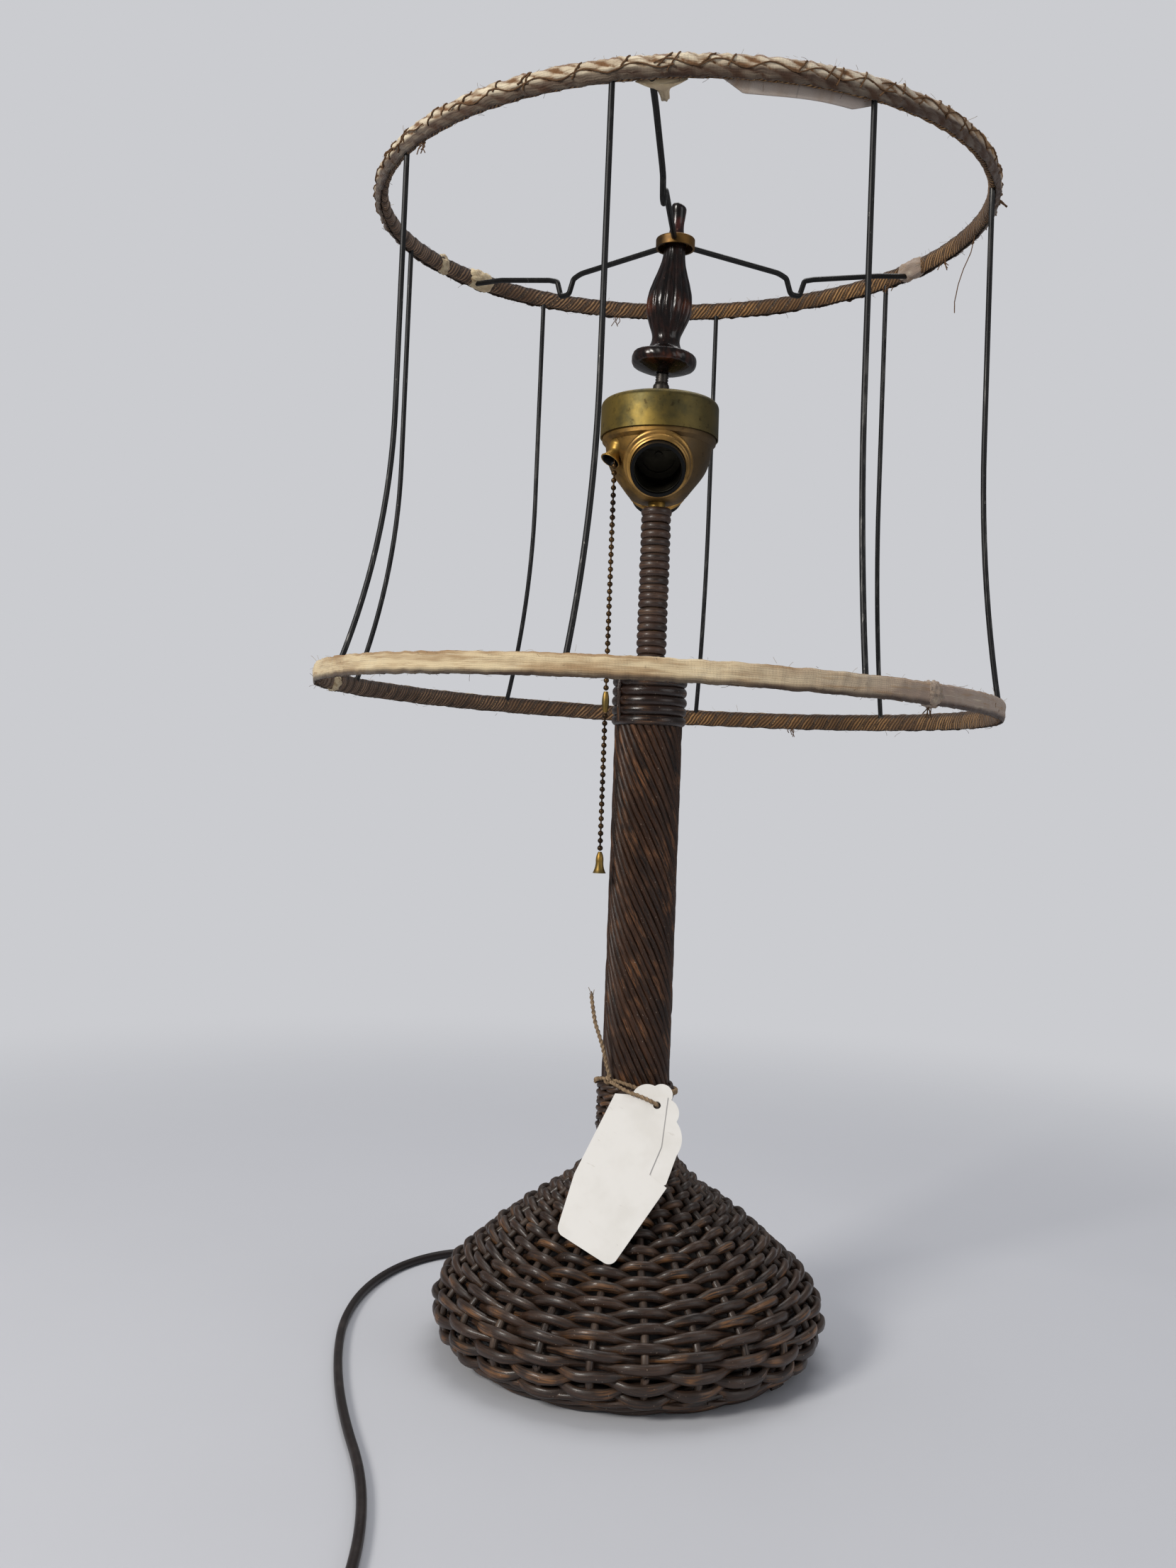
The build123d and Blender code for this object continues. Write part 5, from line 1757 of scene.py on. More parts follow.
class SocketCluster(Assembly):
    """The two-socket brass cluster and the switch inside it."""

    name = "cluster"
    # Height where the sockets' axes meet, and their slope down from level in degrees.
    axes_meet = 526.0
    droop = 30.0
    spout_azimuth = 214.0
    spout_root = (26.6, 525.4)
    spout_mouth = (33.3, 514.4)
    # Where each bead starts on the axis, its radius there and its height.
    beads = ((26.0, 17.2, 2.9), (31.2, 16.4, 2.3))
    bead_half_width = 1.9
    thread_pitch = 3.6
    thread_depth = 0.1

    def build(self) -> None:
        """Dress the cluster's metal, then turn the collars, shells and the spout."""
        self.dress({
            "cluster_cap": self.palette.cap, "cluster_bowl": self.palette.bowl,
            "front_socket_sleeve": self.palette.sleeve,
            "rear_socket_sleeve": self.palette.sleeve, "socket_contacts": self.palette.shell,
            "switch_body": self.palette.plug, "switch_wheel": self.palette.brass,
            "rod_nuts": self.palette.steel, "riser_rod": self.palette.steel,
        })
        for side, sign in (("front", 1.0), ("rear", -1.0)):
            axis = frame_at((0.0, 0.0, self.axes_meet), (sign * (90.0 + self.droop), "X"))
            self.collar(side, axis)
            self.shell(side, axis)
        self.spout()

    def collar(self, side: str, axis: Matrix) -> None:
        """Brass collar with two beads round one socket's mouth.

        Args:
            side: Which socket: front or rear.
            axis: Frame whose +Z runs out of the socket.
        """
        profile = [(15.75, 17.0), (17.4, 17.0), (17.4, 26.4)]
        half = self.bead_half_width
        for start, foot, height in self.beads:
            for step in range(9):
                turn = math.pi * step / 8
                profile.append((foot + height * math.sin(turn),
                                start + half - half * math.cos(turn)))
        profile += [(16.3, 35.5), (15.75, 35.3), (15.75, 17.0)]
        piece = lathe(f"{side}_beaded_collar", profile, self.palette.rim, segments=72,
                      place=axis)
        self.place(piece, "lamp", "brass", f"{side}_socket_collar")

    def shell(self, side: str, axis: Matrix) -> None:
        """Rolled thread of one socket's screw shell.

        Args:
            side: Which socket: front or rear.
            axis: Frame whose +Z runs out of the socket.
        """
        steps, low, high, outside = 96, 14.0, 38.5, 13.66
        profile = []
        for step in range(steps + 1):
            along = low + (high - low) * step / steps
            wave = self.thread_depth * math.cos(TAU * along / self.thread_pitch)
            profile.append((13.42 + wave, along))
        profile += [(outside, high), (outside, low), profile[0]]
        piece = lathe(f"{side}_threaded_shell", profile, self.palette.shell, segments=56,
                      place=axis)
        self.place(piece, "lamp", "shell_brass", f"{side}_screw_shell")

    def spout(self) -> None:
        """Bell-mouthed spout that the chain hangs out of, with a near-black skin of painted shade
        in its throat.
        """
        root = on_azimuth(self.spout_azimuth, *self.spout_root)
        mouth = on_azimuth(self.spout_azimuth, *self.spout_mouth)
        axis = Matrix.Translation(root) @ (mouth - root).to_track_quat("Z", "Y").to_matrix(
            ).to_4x4()
        length = (mouth - root).length
        outer = smooth_profile(((5.2, 0.0), (5.4, length * 0.26), (4.6, length * 0.4),
                                (3.8, length * 0.56), (4.3, length * 0.76),
                                (5.5, length * 0.95), (6.0, length), (5.9, length + 0.5)), 4)
        inner = smooth_profile(((5.4, length + 0.5), (4.6, length * 0.95),
                                (3.3, length * 0.72), (2.9, length * 0.4), (2.8, 0.0)), 4)
        profile = [(spot.x, spot.y) for spot in (*outer, *inner)]
        profile.append(profile[0])
        piece = lathe("bell_spout", profile, self.palette.brass, segments=48, place=axis)
        self.place(piece, "lamp", "brass", "chain_spout")
        # A near-black skin just inside the bore is painted shade in the spout's throat.
        skin = [(spot.x - 0.05, spot.y) for spot in inner]
        skin += [(spot.x - 0.35, spot.y) for spot in reversed(inner)]
        piece = lathe("spout_throat", skin + skin[:1], self.palette.sleeve, segments=48,
                      place=axis)
        self.place(piece, "lamp", "brass")


class PullChain(Assembly):
    """The bead chain, its connector and the bell that is pulled."""

    name = "pull chain"
    # Where the chain hangs, the heights that its two runs of beads span, and their pitch.
    azimuth = 214.0
    radius = 30.5
    runs = ((509.6, 381.0), (369.0, 288.5))
    pitch = 4.35

    def build(self) -> None:
        """String the beads and dress the metal ends."""
        place = on_azimuth(self.azimuth, self.radius)
        for number, (high, low) in enumerate(self.runs, start=1):
            count = round((high - low) / self.pitch)
            step = (high - low) / count
            line = [place + Vector((0, 0, high - step * 0.5)),
                    place + Vector((0, 0, low + step * 0.5))]
            piece = self.recipes.beads.make(
                f"bead_run_{number}", Paths().add(line), self.palette.dark_brass,
                Beads=count, Bead_Size=3.2 * MM, Link_Size=1.0 * MM, Seed=number)
            self.place(piece, "pull_chain", "chain_brass",
                       *(("chain_beads",) if number == 1 else ()))
        self.dress({
            "chain_connector": self.palette.brass, "chain_bell": self.palette.brass,
            "pull_wire": self.palette.dark_brass,
        })


class Spindle(Assembly):
    """The turned and fluted wooden spindle on its leaning rod, and the finial above."""

    name = "spindle"
    # Height where the rod bends, and its lean from upright in degrees.
    bend = 562.0
    lean = 3.6
    flutes = 14

    @property
    def axis(self) -> Matrix:
        """Frame of the leaning rod, in millimetres."""
        return frame_at((0.0, 0.0, self.bend), (self.lean, "Y"))

    def build(self) -> None:
        """Turn the spindle, the finial and the rod's thread."""
        self.body()
        self.finial()
        self.thread()

    def thread(self) -> None:
        """Thread of the rod where it shows between the lock nut and the flange."""
        low, high, pitch = 2.6, 8.4, 1.45
        turns = int((high - low) / pitch)
        profile = [(3.2, low)]
        for step in range(turns):
            start = low + pitch * step
            profile += [(3.22, start), (3.9, start + pitch * 0.5)]
        profile += [(3.22, low + pitch * turns), (3.2, low)]
        piece = lathe("rod_thread", profile, self.palette.steel, segments=40,
                      place=self.axis)
        self.place(piece, "lamp", "rod_brass")

    def body(self) -> None:
        """Flange, waist, fluted vase and neck."""
        # Radius and height above the rod's bend, in millimetres.
        knots = [(3.4, 8.5), (6.4, 8.5), (11.6, 9.9), (14.6, 11.0), (17.7, 12.4), (18.9, 14.4),
                 (19.1, 16.8), (18.6, 18.9), (17.4, 19.8), (13.0, 20.6), (10.0, 23.2),
                 (8.4, 27.0), (8.5, 31.0), (10.6, 36.6), (12.9, 43.0), (13.5, 48.4),
                 (13.0, 54.5), (11.3, 61.0), (9.3, 67.0), (7.5, 73.0), (6.5, 79.0),
                 (6.3, 86.0), (5.6, 86.6), (3.4, 86.6)]
        profile = [(spot.x, spot.y) for spot in smooth_profile(knots, 5)]
        profile.append(profile[0])

        def ripple(turn: float, height: float) -> float:
            """Cut the flutes, deepest on the vase, and dent the flange's rim.

            Args:
                turn: Place round the axis, in radians.
                height: Height in millimetres.

            Returns:
                The factor on the radius.
            """
            rise = min(max((height - 31.0) / 10.0, 0.0), 1.0)
            fall = min(max((84.0 - height) / 16.0, 0.0), 1.0)
            groove = 1.0 - abs(math.sin(turn * self.flutes / 2.0 + height * 0.004))
            dent = 0.012 * math.sin(turn * 5.0 + 1.0) * (1.0 if 11.0 < height < 20.5 else 0.0)
            wave = 0.004 * math.sin(turn * 23.0 + height * 0.9)
            return 1.0 - 0.10 * rise * fall * groove**2 + min(dent, 0.008) + wave

        piece = lathe("fluted_spindle", profile, self.palette.wood, segments=168,
                      ripple=ripple, place=self.axis)
        self.place(piece, "lamp", "mahogany", "spindle")

    def finial(self) -> None:
        """Small knob with a notched, slanted top."""
        base = 89.25
        knots = [(3.3, base), (4.9, base), (4.7, base + 1.6), (4.1, base + 5.0),
                 (4.0, base + 9.0), (4.5, base + 13.0), (5.1, base + 16.4),
                 (4.9, base + 18.6), (3.6, base + 19.9), (1.6, base + 20.2), (0.0, base + 20.2)]
        outer = [(spot.x, spot.y) for spot in smooth_profile(knots, 4)]
        bore = [(0.0, base + 13.0), (3.3, base + 13.0), (3.3, base)]

        def ripple(turn: float, height: float) -> float:
            """Flatten the head on two sides and notch it.

            Args:
                turn: Place round the axis, in radians.
                height: Height in millimetres.

            Returns:
                The factor on the radius.
            """
            share = min(max((height - base - 11.0) / 6.0, 0.0), 1.0)
            return 1.0 - 0.14 * share * (0.5 + 0.5 * math.cos(2.0 * turn + 0.6))

        piece = lathe("turned_finial", outer + bore, self.palette.knob, segments=56,
                      ripple=ripple, place=self.axis)
        cap = 4.6
        foot_of_cap = self.bend + base + 20.2 - cap
        for vertex in piece.data.vertices:
            spot = vertex.co / MM
            over = spot.z - foot_of_cap
            if over > 0:
                slope = max(spot.x - 6.9, -1.0) * 0.34 + 0.3
                vertex.co.z -= slope * MM * min(over / cap, 1.0)
        self.place(piece, "finial", "mahogany", "finial")


@dataclass(frozen=True)
class Ring:
    """One wire ring of the shade: its centre, radius and tilt."""

    centre: Point
    radius: float
    tilt: tuple[float, float]

    @property
    def frame(self) -> Matrix:
        """Frame whose +Z is the ring's axis, in millimetres."""
        return frame_at(self.centre, (self.tilt[0], "X"), (self.tilt[1], "Y"))

    def point(self, degrees: float, radius: float, height: float = 0.0) -> Vector:
        """Point at an azimuth of the ring, a radius and a height off its plane."""
        return self.frame @ on_azimuth(degrees, radius, height)

    def circle(self, radius: float, count: int, height: float = 0.0) -> list[Vector]:
        """Points of a circle in the ring's plane, starting at the rear."""
        return [self.point(90.0 + 360.0 * step / count, radius, height) for step in range(count)]


TOP_RING = Ring((9.8, 2.0, 665.8), 175.65, (0.77, -1.2))
BOTTOM_RING = Ring((3.2, 2.0, 379.7), 195.35, (0.2, 1.31))


class ShadeFrame(Assembly):
    """Wire frame of the shade: hub, arms, hoops, struts and the tape on the rings."""

    name = "shade frame"

    def build(self) -> None:
        """Dress the wires and wind the tape."""
        wires = {f"shade_strut_{number}": self.palette.strut for number in range(1, 9)}
        for side in ("near", "left", "right"):
            wires[f"spider_arm_{side}"] = self.palette.arm
        wires.update({"top_hoop": self.palette.strut, "bottom_hoop": self.palette.strut,
                      "spider_hub": self.palette.hub})
        self.dress(wires)
        self.tape(TOP_RING, "top", turns=96.0, seed=4)
        self.tape(BOTTOM_RING, "bottom", turns=112.0, seed=8)

    def tape(self, ring: Ring, side: str, turns: float, seed: int) -> None:
        """Wind the tape round one ring.

        Args:
            ring: The ring.
            side: Which one: top or bottom.
            turns: Turns of the tape round its wire.
            seed: Number that tells the rings apart.
        """
        paths = Paths().add(ring.circle(ring.radius, 240), closed=True)
        piece = self.recipes.tape.make(
            f"{side}_tape", paths, self.palette.tape, Samples=1150, Sides=20, Width=4.2 * MM,
            Height=9.9 * MM, Turns=turns, Lift=0.5 * MM, Uneven=0.9 * MM, Seed=seed)
        self.place(piece, "shade", "tape", f"{side}_binding")


@dataclass(frozen=True)
class StripLook:
    """How one strip of silk sits on its ring."""

    torn: float
    tuck: float
    puff: float = 0.0
    pitch: float = 3.75
    slant: float = 0.6


class ShadeFabric(Assembly):
    """What is left of the shade's silk, its stitches and its frayed threads."""

    name = "shade fabric"
    # Thickness and width of the strips, and their distance from the ring's wire.
    thick = 0.55
    high = 10.9
    gap = 2.6
    top_seed = 9
    top_look = StripLook(torn=1.3, tuck=0.6, puff=2.1, slant=2.4)
    bottom_look = StripLook(torn=0.6, tuck=0.8)

    def build(self) -> None:
        """Lay the strips, then the threads and the fibres."""
        self.strip(BOTTOM_RING, "bottom", self.palette.silk, 4, self.bottom_look)
        self.strip(TOP_RING, "top", self.palette.top_silk, self.top_seed, self.top_look)
        self.lattice()
        self.flap()
        self.near_tab()
        self.scraps()
        self.threads()
        self.fluff(TOP_RING, "top", count=300, seed=3)
        self.fluff(BOTTOM_RING, "bottom", count=160, seed=5)

    def surface(self, look: StripLook, degrees: float, share: float, seed: int
                ) -> tuple[float, float, float]:
        """Place one point of the silk.

        Args:
            look: How the strip sits.
            degrees: Azimuth on the ring.
            share: Height on the strip, from 0 to 1.
            seed: Number that tells the strips apart.

        Returns:
            How far it stands off, its height on the ring, and how full the fold is there.
        """
        turn = math.radians(degrees)
        circle = Vector((math.cos(turn), math.sin(turn), seed * 0.37)) * 9.0
        torn = noise.noise(circle * 3.0 + Vector((0, 0, 4.0))) * 1.3
        torn += noise.noise(circle * 11.0) * 0.6
        tuck = noise.noise(circle * 1.2 + Vector((0, 0, share * 1.5)))
        fold = noise.noise(circle * 6.0 + Vector((0, 0, share * 2.0)))
        puff = abs(math.sin(math.pi * (degrees / look.pitch + share * look.slant))) ** 0.6
        cross = abs(math.sin(math.pi * (degrees / look.pitch * 0.5 - share * 0.5 + 0.2))) ** 0.5
        edge = (2.0 * share - 1.0) ** 4
        out = tuck * look.tuck + fold * look.tuck * 0.8 - edge * 0.8
        out += look.puff * (puff * 0.65 + cross * 0.35) * (1.0 - edge)
        raised = min(max(puff * 0.6 + cross * 0.4, 0.0), 1.0)
        shift = torn * look.torn * (0.25 + 0.9 * abs(share - 0.5))
        return out, (share - 0.5) * self.high + shift, raised

    def strip(self, ring: Ring, side: str, material: bpy.types.Material, seed: int,
              look: StripLook) -> None:
        """Lay a strip of silk round the outside of one ring, torn at its edges.

        Args:
            ring: The ring.
            side: Which one: top or bottom.
            material: The strip's finish.
            seed: Number that tells the strips apart.
            look: How the strip sits.
        """
        turns, rows = 1080, 10
        inner = ring.radius + self.gap
        points, edge, run, folds = [], [], [], []
        for layer in (0.0, self.thick):
            for step in range(turns):
                degrees = 90.0 + 360.0 * step / turns
                for row in range(rows + 1):
                    share = row / rows
                    out, height, raised = self.surface(look, degrees, share, seed)
                    points.append(ring.point(degrees, inner + layer + out, height))
                    edge.append(share)
                    folds.append(raised)
                    run.append(ring.radius * MM * TAU * step / turns)
        stride, half = rows + 1, len(points) // 2
        faces = two_skins(turns, stride, closed=True)
        for step in range(turns):
            here, there = step * stride, (step + 1) % turns * stride
            faces.append((here, there, half + there, half + here))
            faces.append((half + here + rows, half + there + rows, there + rows, here + rows))
        piece = mesh_object(f"{side}_silk_strip", points, [], faces)
        store_numbers(piece, edge=edge, run=run, fold=folds)
        finish_mesh(piece, material)
        self.place(piece, "shade", "silk", f"{side}_silk")

    def on_silk(self, degrees: float, share: float, lift: float) -> Vector:
        """Find a point that lies on the top ring's silk.

        Args:
            degrees: Azimuth on the ring.
            share: Height on the strip, from 0 to 1.
            lift: How far outside the ring's wire flat silk would be, in millimetres.

        Returns:
            The point in millimetres.
        """
        out, height, _ = self.surface(self.top_look, degrees, share, self.top_seed)
        return TOP_RING.point(degrees, TOP_RING.radius + lift + out, height)

    def lattice(self) -> None:
        """Brown stitches that cross on the slant over the top ring's silk."""
        paths = Paths()
        random.seed(11)
        pitch = self.top_look.pitch
        start, span, skipped = math.ceil(166.0 / pitch) * pitch, 248.0, 0.2
        for step in range(round(span / pitch)):
            if random.random() < skipped:
                continue
            first = start + step * pitch + random.uniform(-0.9, 0.9)
            lean = pitch * random.uniform(0.3, 1.1)
            length = random.uniform(0.5, 0.9)
            shares = [0.97 - length * part / 8 for part in range(9)]
            paths.add([self.on_silk(first + share * lean, share, 3.6) for share in shares],
                      float(step))
        for first, level in ((-178.0, 0.55), (-132.0, 0.42), (-96.0, 0.5), (-60.0, 0.6)):
            paths.add([self.on_silk(first + part, level + 0.16 * math.sin(part * 0.8), 3.7)
                       for part in range(40)], first)
        piece = self.recipes.reeds.make(
            "silk_stitches", paths, self.palette.thread, Samples=44, Sides=6,
            Width=0.8 * MM, Height=0.8 * MM, Jitter=0.7, Seed=2)
        self.place(piece, "shade", "tape")

    def wrap(self, name: str, spine: Sequence[Vector], sides: Sequence[Vector],
             wide: Sequence[float], high: Sequence[float], crumple: float) -> None:
        """Bundle cloth round a line.

        Args:
            name: Name of the piece.
            spine: Points along its middle.
            sides: Direction of its width at each point.
            wide: Half width at each point.
            high: Half height at each point.
            crumple: Depth of its folds in millimetres.
        """
        count = 28
        points, faces, edge, run = [], [], [], []
        for index, middle in enumerate(spine):
            after = spine[min(index + 1, len(spine) - 1)] - spine[max(index - 1, 0)]
            up = sides[index].cross(after).normalized()
            for step in range(count):
                turn = TAU * step / count
                spot = middle + sides[index] * (wide[index] * math.cos(turn)) + up * (
                    high[index] * math.sin(turn))
                away = (spot - middle).normalized()
                fold = noise.noise(Vector((math.cos(turn) * 2.2, math.sin(turn) * 2.2,
                                           index * 0.55 + middle.x))) * crumple
                points.append(spot + away * fold)
                edge.append(0.35 + 0.4 * (0.5 + 0.5 * math.sin(turn * 3.0)))
                run.append(index * 0.004 + step * 0.0007)
        for index in range(len(spine) - 1):
            for step in range(count):
                after = (step + 1) % count
                a, b = index * count, (index + 1) * count
                faces.append((a + step, a + after, b + after, b + step))
        faces.append(tuple(range(count))[::-1])
        last = (len(spine) - 1) * count
        faces.append(tuple(last + step for step in range(count)))
        piece = mesh_object(name, points, [], faces)
        store_numbers(piece, edge=edge, run=run, fold=edge)
        finish_mesh(piece, self.palette.silk)
        self.place(piece, "shade", "silk")

    def near_tab(self) -> None:
        """Gathered cloth that funnels from the ring down onto the near arm."""
        azimuth = -95.0
        side = (TOP_RING.point(azimuth + 1.0, 170.0) - TOP_RING.point(azimuth, 170.0)
                ).normalized()
        # Radius, height, half width and half height of the cloth, from the arm to the ring.
        stations = ((147.0, -0.2, 2.1, 2.1), (153.0, -0.4, 2.3, 2.2), (158.5, -0.9, 3.0, 2.5),
                    (163.0, -1.7, 4.6, 2.8), (167.0, -2.8, 7.2, 3.0), (170.6, -3.9, 10.2, 2.6),
                    (173.6, -4.8, 12.4, 1.8))
        radii, heights, wide, high = zip(*stations)
        spine = [TOP_RING.point(azimuth, *spot) for spot in zip(radii, heights)]
        self.wrap("near_arm_tab", spine, [side] * len(spine), wide, high, crumple=0.9)

    def scraps(self) -> None:
        """Torn scraps of cloth left on the rings, at the arms and at one strut."""
        # Name, ring, azimuth, reach to each side in degrees, half width and half height.
        places = (("left_arm_scrap", TOP_RING, 140.0, 3.4, 4.3, 6.5),
                  ("right_arm_scrap", TOP_RING, 31.0, 3.6, 4.4, 6.6),
                  ("rear_scrap", TOP_RING, 152.0, 1.5, 3.4, 6.1),
                  ("strut_scrap", BOTTOM_RING, -47.0, 1.7, 5.0, 6.6),
                  ("side_scrap", BOTTOM_RING, 176.0, 1.6, 4.6, 6.0))
        for name, ring, azimuth, reach, wide, high in places:
            spine, sides, widths, heights = [], [], [], []
            for step in range(13):
                share = step / 12
                degrees = azimuth - reach + 2.0 * reach * share
                middle = ring.point(degrees, ring.radius)
                spine.append(middle)
                sides.append((ring.point(degrees, ring.radius + 1.0) - middle).normalized())
                swell = 0.55 + 0.45 * math.sin(math.pi * share) ** 0.35
                widths.append(wide * swell)
                heights.append(high * swell)
            self.wrap(name, spine, sides, widths, heights, crumple=1.5)

    def flap(self) -> None:
        """Torn flap of silk that hangs inside the top ring at the near right."""
        across, down = 36, 5
        first, span, top, length, inset = -86.0, 27.0, -2.6, 7.4, 2.9
        points = []
        for layer in (0.0, 0.4):
            for step in range(across + 1):
                share = step / across
                reach = min(share * 7.0, 1.0, (1.0 - share) * 4.0 + 0.35)
                for row in range(down + 1):
                    drop = row / down * length * reach
                    wave = 0.54 * math.sin(share * 9.0 + row * 0.5) * row / down
                    points.append(TOP_RING.point(
                        first + share * span, TOP_RING.radius - inset - layer + wave,
                        top - drop))
        stride, half = down + 1, len(points) // 2
        border = [step * stride for step in range(across + 1)]
        border += [across * stride + row for row in range(1, down + 1)]
        border += [step * stride + down for step in range(across - 1, -1, -1)]
        border += range(down - 1, 0, -1)
        faces = two_skins(across + 1, stride)
        faces += [(a, b, half + b, half + a) for a, b in zip(border, border[1:] + border[:1])]
        piece = mesh_object("torn_flap", points, [], faces)
        even = [0.6] * len(points)
        store_numbers(piece, edge=even, run=[0.4 * MM * step for step in range(len(points))],
                      fold=even)
        finish_mesh(piece, self.palette.flap)
        self.place(piece, "shade", "silk")

    def threads(self) -> None:
        """Long loose threads and clumps that hang off the rings."""
        paths = Paths()
        random.seed(8)
        hung = TOP_RING.point(6.0, TOP_RING.radius, -5.0)
        falls = ((0.0, 0.0, 0.0), (-2.0, -0.5, -10.0), (-6.5, -1.0, -21.0),
                 (-9.5, -0.6, -31.0), (-11.0, -0.4, -40.0), (-10.7, 0.2, -47.0))
        paths.add([hung + Vector(fall) for fall in falls], 1.0)
        end = TOP_RING.point(-8.0, TOP_RING.radius + 3.4, -1.0)
        for shift in (0.0, 0.7):
            paths.add([end, end + Vector((2.2, -0.6, -2.4 + shift)),
                       end + Vector((5.4, -0.8 + shift, -4.6))], 2.0 + shift, swell=(2, 2, 1.6))
        clumps = ((TOP_RING, 20.0, -5.0), (TOP_RING, 38.0, -5.0), (TOP_RING, -141.0, -6.0),
                  (TOP_RING, 104.0, -5.0), (BOTTOM_RING, -47.0, -5.5), (BOTTOM_RING, 60.0, -5.0))
        for ring, azimuth, height in clumps:
            for number in range(5):
                start = ring.point(azimuth + random.uniform(-0.8, 0.8), ring.radius, height)
                lean = Vector((random.uniform(-4.0, 2.0), random.uniform(-2.0, 2.0),
                               random.uniform(-7.0, -3.0)))
                curl = Vector((random.uniform(-1.5, 1.5), 0.0, random.uniform(-0.5, 1.5)))
                paths.add([start, start + lean * 0.5 + curl, start + lean], number + azimuth)
        piece = self.recipes.reeds.make(
            "loose_threads", paths, self.palette.thread, Samples=24, Sides=5,
            Width=0.6 * MM, Height=0.6 * MM, Uneven=1.2 * MM, Jitter=0.5, Seed=4)
        self.place(piece, "shade", "tape")

    def fluff(self, ring: Ring, side: str, count: int, seed: int) -> None:
        """Short fibres that stand off one ring's edges.

        Args:
            ring: The ring.
            side: Which one: top or bottom.
            count: Fibres on each edge.
            seed: Number that tells the rings apart.
        """
        for place, height, material in (("upper", 5.0, self.palette.fluff),
                                        ("lower", -5.0, self.palette.thread)):
            paths = Paths().add(ring.circle(ring.radius + 1.0, 200, height), closed=True)
            piece = self.recipes.fibres.make(
                f"{side}_{place}_fibres", paths, material, Count=count, Length=5.0 * MM,
                Size=0.22 * MM, Spread=1.6 * MM, Seed=seed)
            self.place(piece, "shade", "tape")


class ShopTag(Assembly):
    """The two blank cards and the jute twine that ties them to the column."""

    name = "tag"
    anchor = (12.7, -32.8, 147.4)
    lean = 29.4
    loop_height = 157.4
    knot_azimuth = -132.0
    plies = {"Plies": 1.0, "Twist": 1100.0}

    @property
    def frame_of_cards(self) -> Matrix:
        """Frame of the cards, with their hole at its origin, in millimetres."""
        return frame_at(self.anchor, (-self.lean, "X"), (90.0, "X"))

    @property
    def knot(self) -> Vector:
        """Middle of the knot."""
        return on_azimuth(self.knot_azimuth, 23.6, self.loop_height)

    def build(self) -> None:
        """Dress the cards and lay the twine."""
        self.dress({"tag_cards": self.palette.paper})
        self.loop()
        self.tail()
        self.run()

    def loop(self) -> None:
        """Two turns of twine round the column, and the knot."""
        paths = Paths()
        for number in range(2):
            line = []
            for step in range(96):
                turn = 360.0 * step / 96
                back = 0.5 - 0.5 * math.cos(math.radians(turn - self.knot_azimuth))
                spread = min(back * 4.0, 1.0)
                line.append(on_azimuth(turn, 21.1 + 2.9 * spread,
                                       self.loop_height - 1.2 * number * spread
                                       - 3.4 * spread - 4.6 * back))
            paths.add(line, float(number), closed=True)
        knot = []
        out = on_azimuth(self.knot_azimuth, 1.0)
        side = Vector((-out.y, out.x, 0.0))
        for step in range(40):
            turn = TAU * step / 40
            knot.append(self.knot + side * (1.5 * math.cos(turn)) + out * math.sin(2 * turn)
                        + Vector((0, 0, 1.5 * math.sin(turn))))
        paths.add(knot, 5.0, closed=True)
        piece = self.recipes.reeds.make(
            "twine_turns", paths, self.palette.twine, Samples=260, Sides=10,
            Width=1.9 * MM, Height=1.9 * MM, Jitter=0.2, Seed=2, **self.plies)
        self.place(piece, "lamp", "twine", "twine_loop")

    def tail(self) -> None:
        """The twine's free end, with its plies fraying apart."""
        steps = [(1.0, -0.8, 2.0), (-1.2, -1.2, 9.0), (-3.4, -1.7, 18.0), (-6.0, -2.2, 26.0),
                 (-8.4, -2.4, 33.0), (-10.0, -2.4, 41.0), (-11.3, -2.4, 49.0)]
        line = [self.knot + Vector(step) for step in smooth_profile(steps, 6)]
        piece = self.recipes.reeds.make(
            "twine_tail", Paths().add(line, 3.0), self.palette.twine, Samples=120, Sides=10,
            Width=2.1 * MM, Height=2.1 * MM, Jitter=0.3, Seed=6, **self.plies)
        self.place(piece, "lamp", "twine")
        fray = Paths()
        random.seed(5)
        for number in range(9):
            start = line[-4 + number % 3]
            lean = Vector((random.uniform(-2.0, 1.4), random.uniform(-1.2, 1.2),
                           random.uniform(2.5, 5.2)))
            fray.add([start, start + lean * 0.45 + Vector((0.3, 0, 0)), start + lean],
                     float(number))
        ends = self.recipes.reeds.make(
            "twine_fray", fray, self.palette.twine, Samples=8, Sides=5,
            Width=0.4 * MM, Height=0.4 * MM, Jitter=0.5, Seed=3)
        self.place(ends, "lamp", "twine")

    def run(self) -> None:
        """Twine from the knot across the front card and into the cards' hole."""
        frame = self.frame_of_cards
        across = [frame @ Vector(spot) for spot in
                  ((-17.0, 6.8, 1.75), (-9.0, 4.0, 1.75), (-1.8, 0.9, 1.75), (0.0, 0.0, -0.4))]
        away = (across[0] - self.knot).normalized()
        start = self.knot + away * 2.9
        line = smooth_profile([start, *across], 8)
        piece = self.recipes.reeds.make(
            "twine_across", Paths().add(line, 4.0), self.palette.twine,
            Samples=110, Sides=10, Width=2.1 * MM, Height=2.1 * MM, Jitter=0.2, Seed=8,
            **self.plies)
        self.place(piece, "tag", "twine", "twine_run")


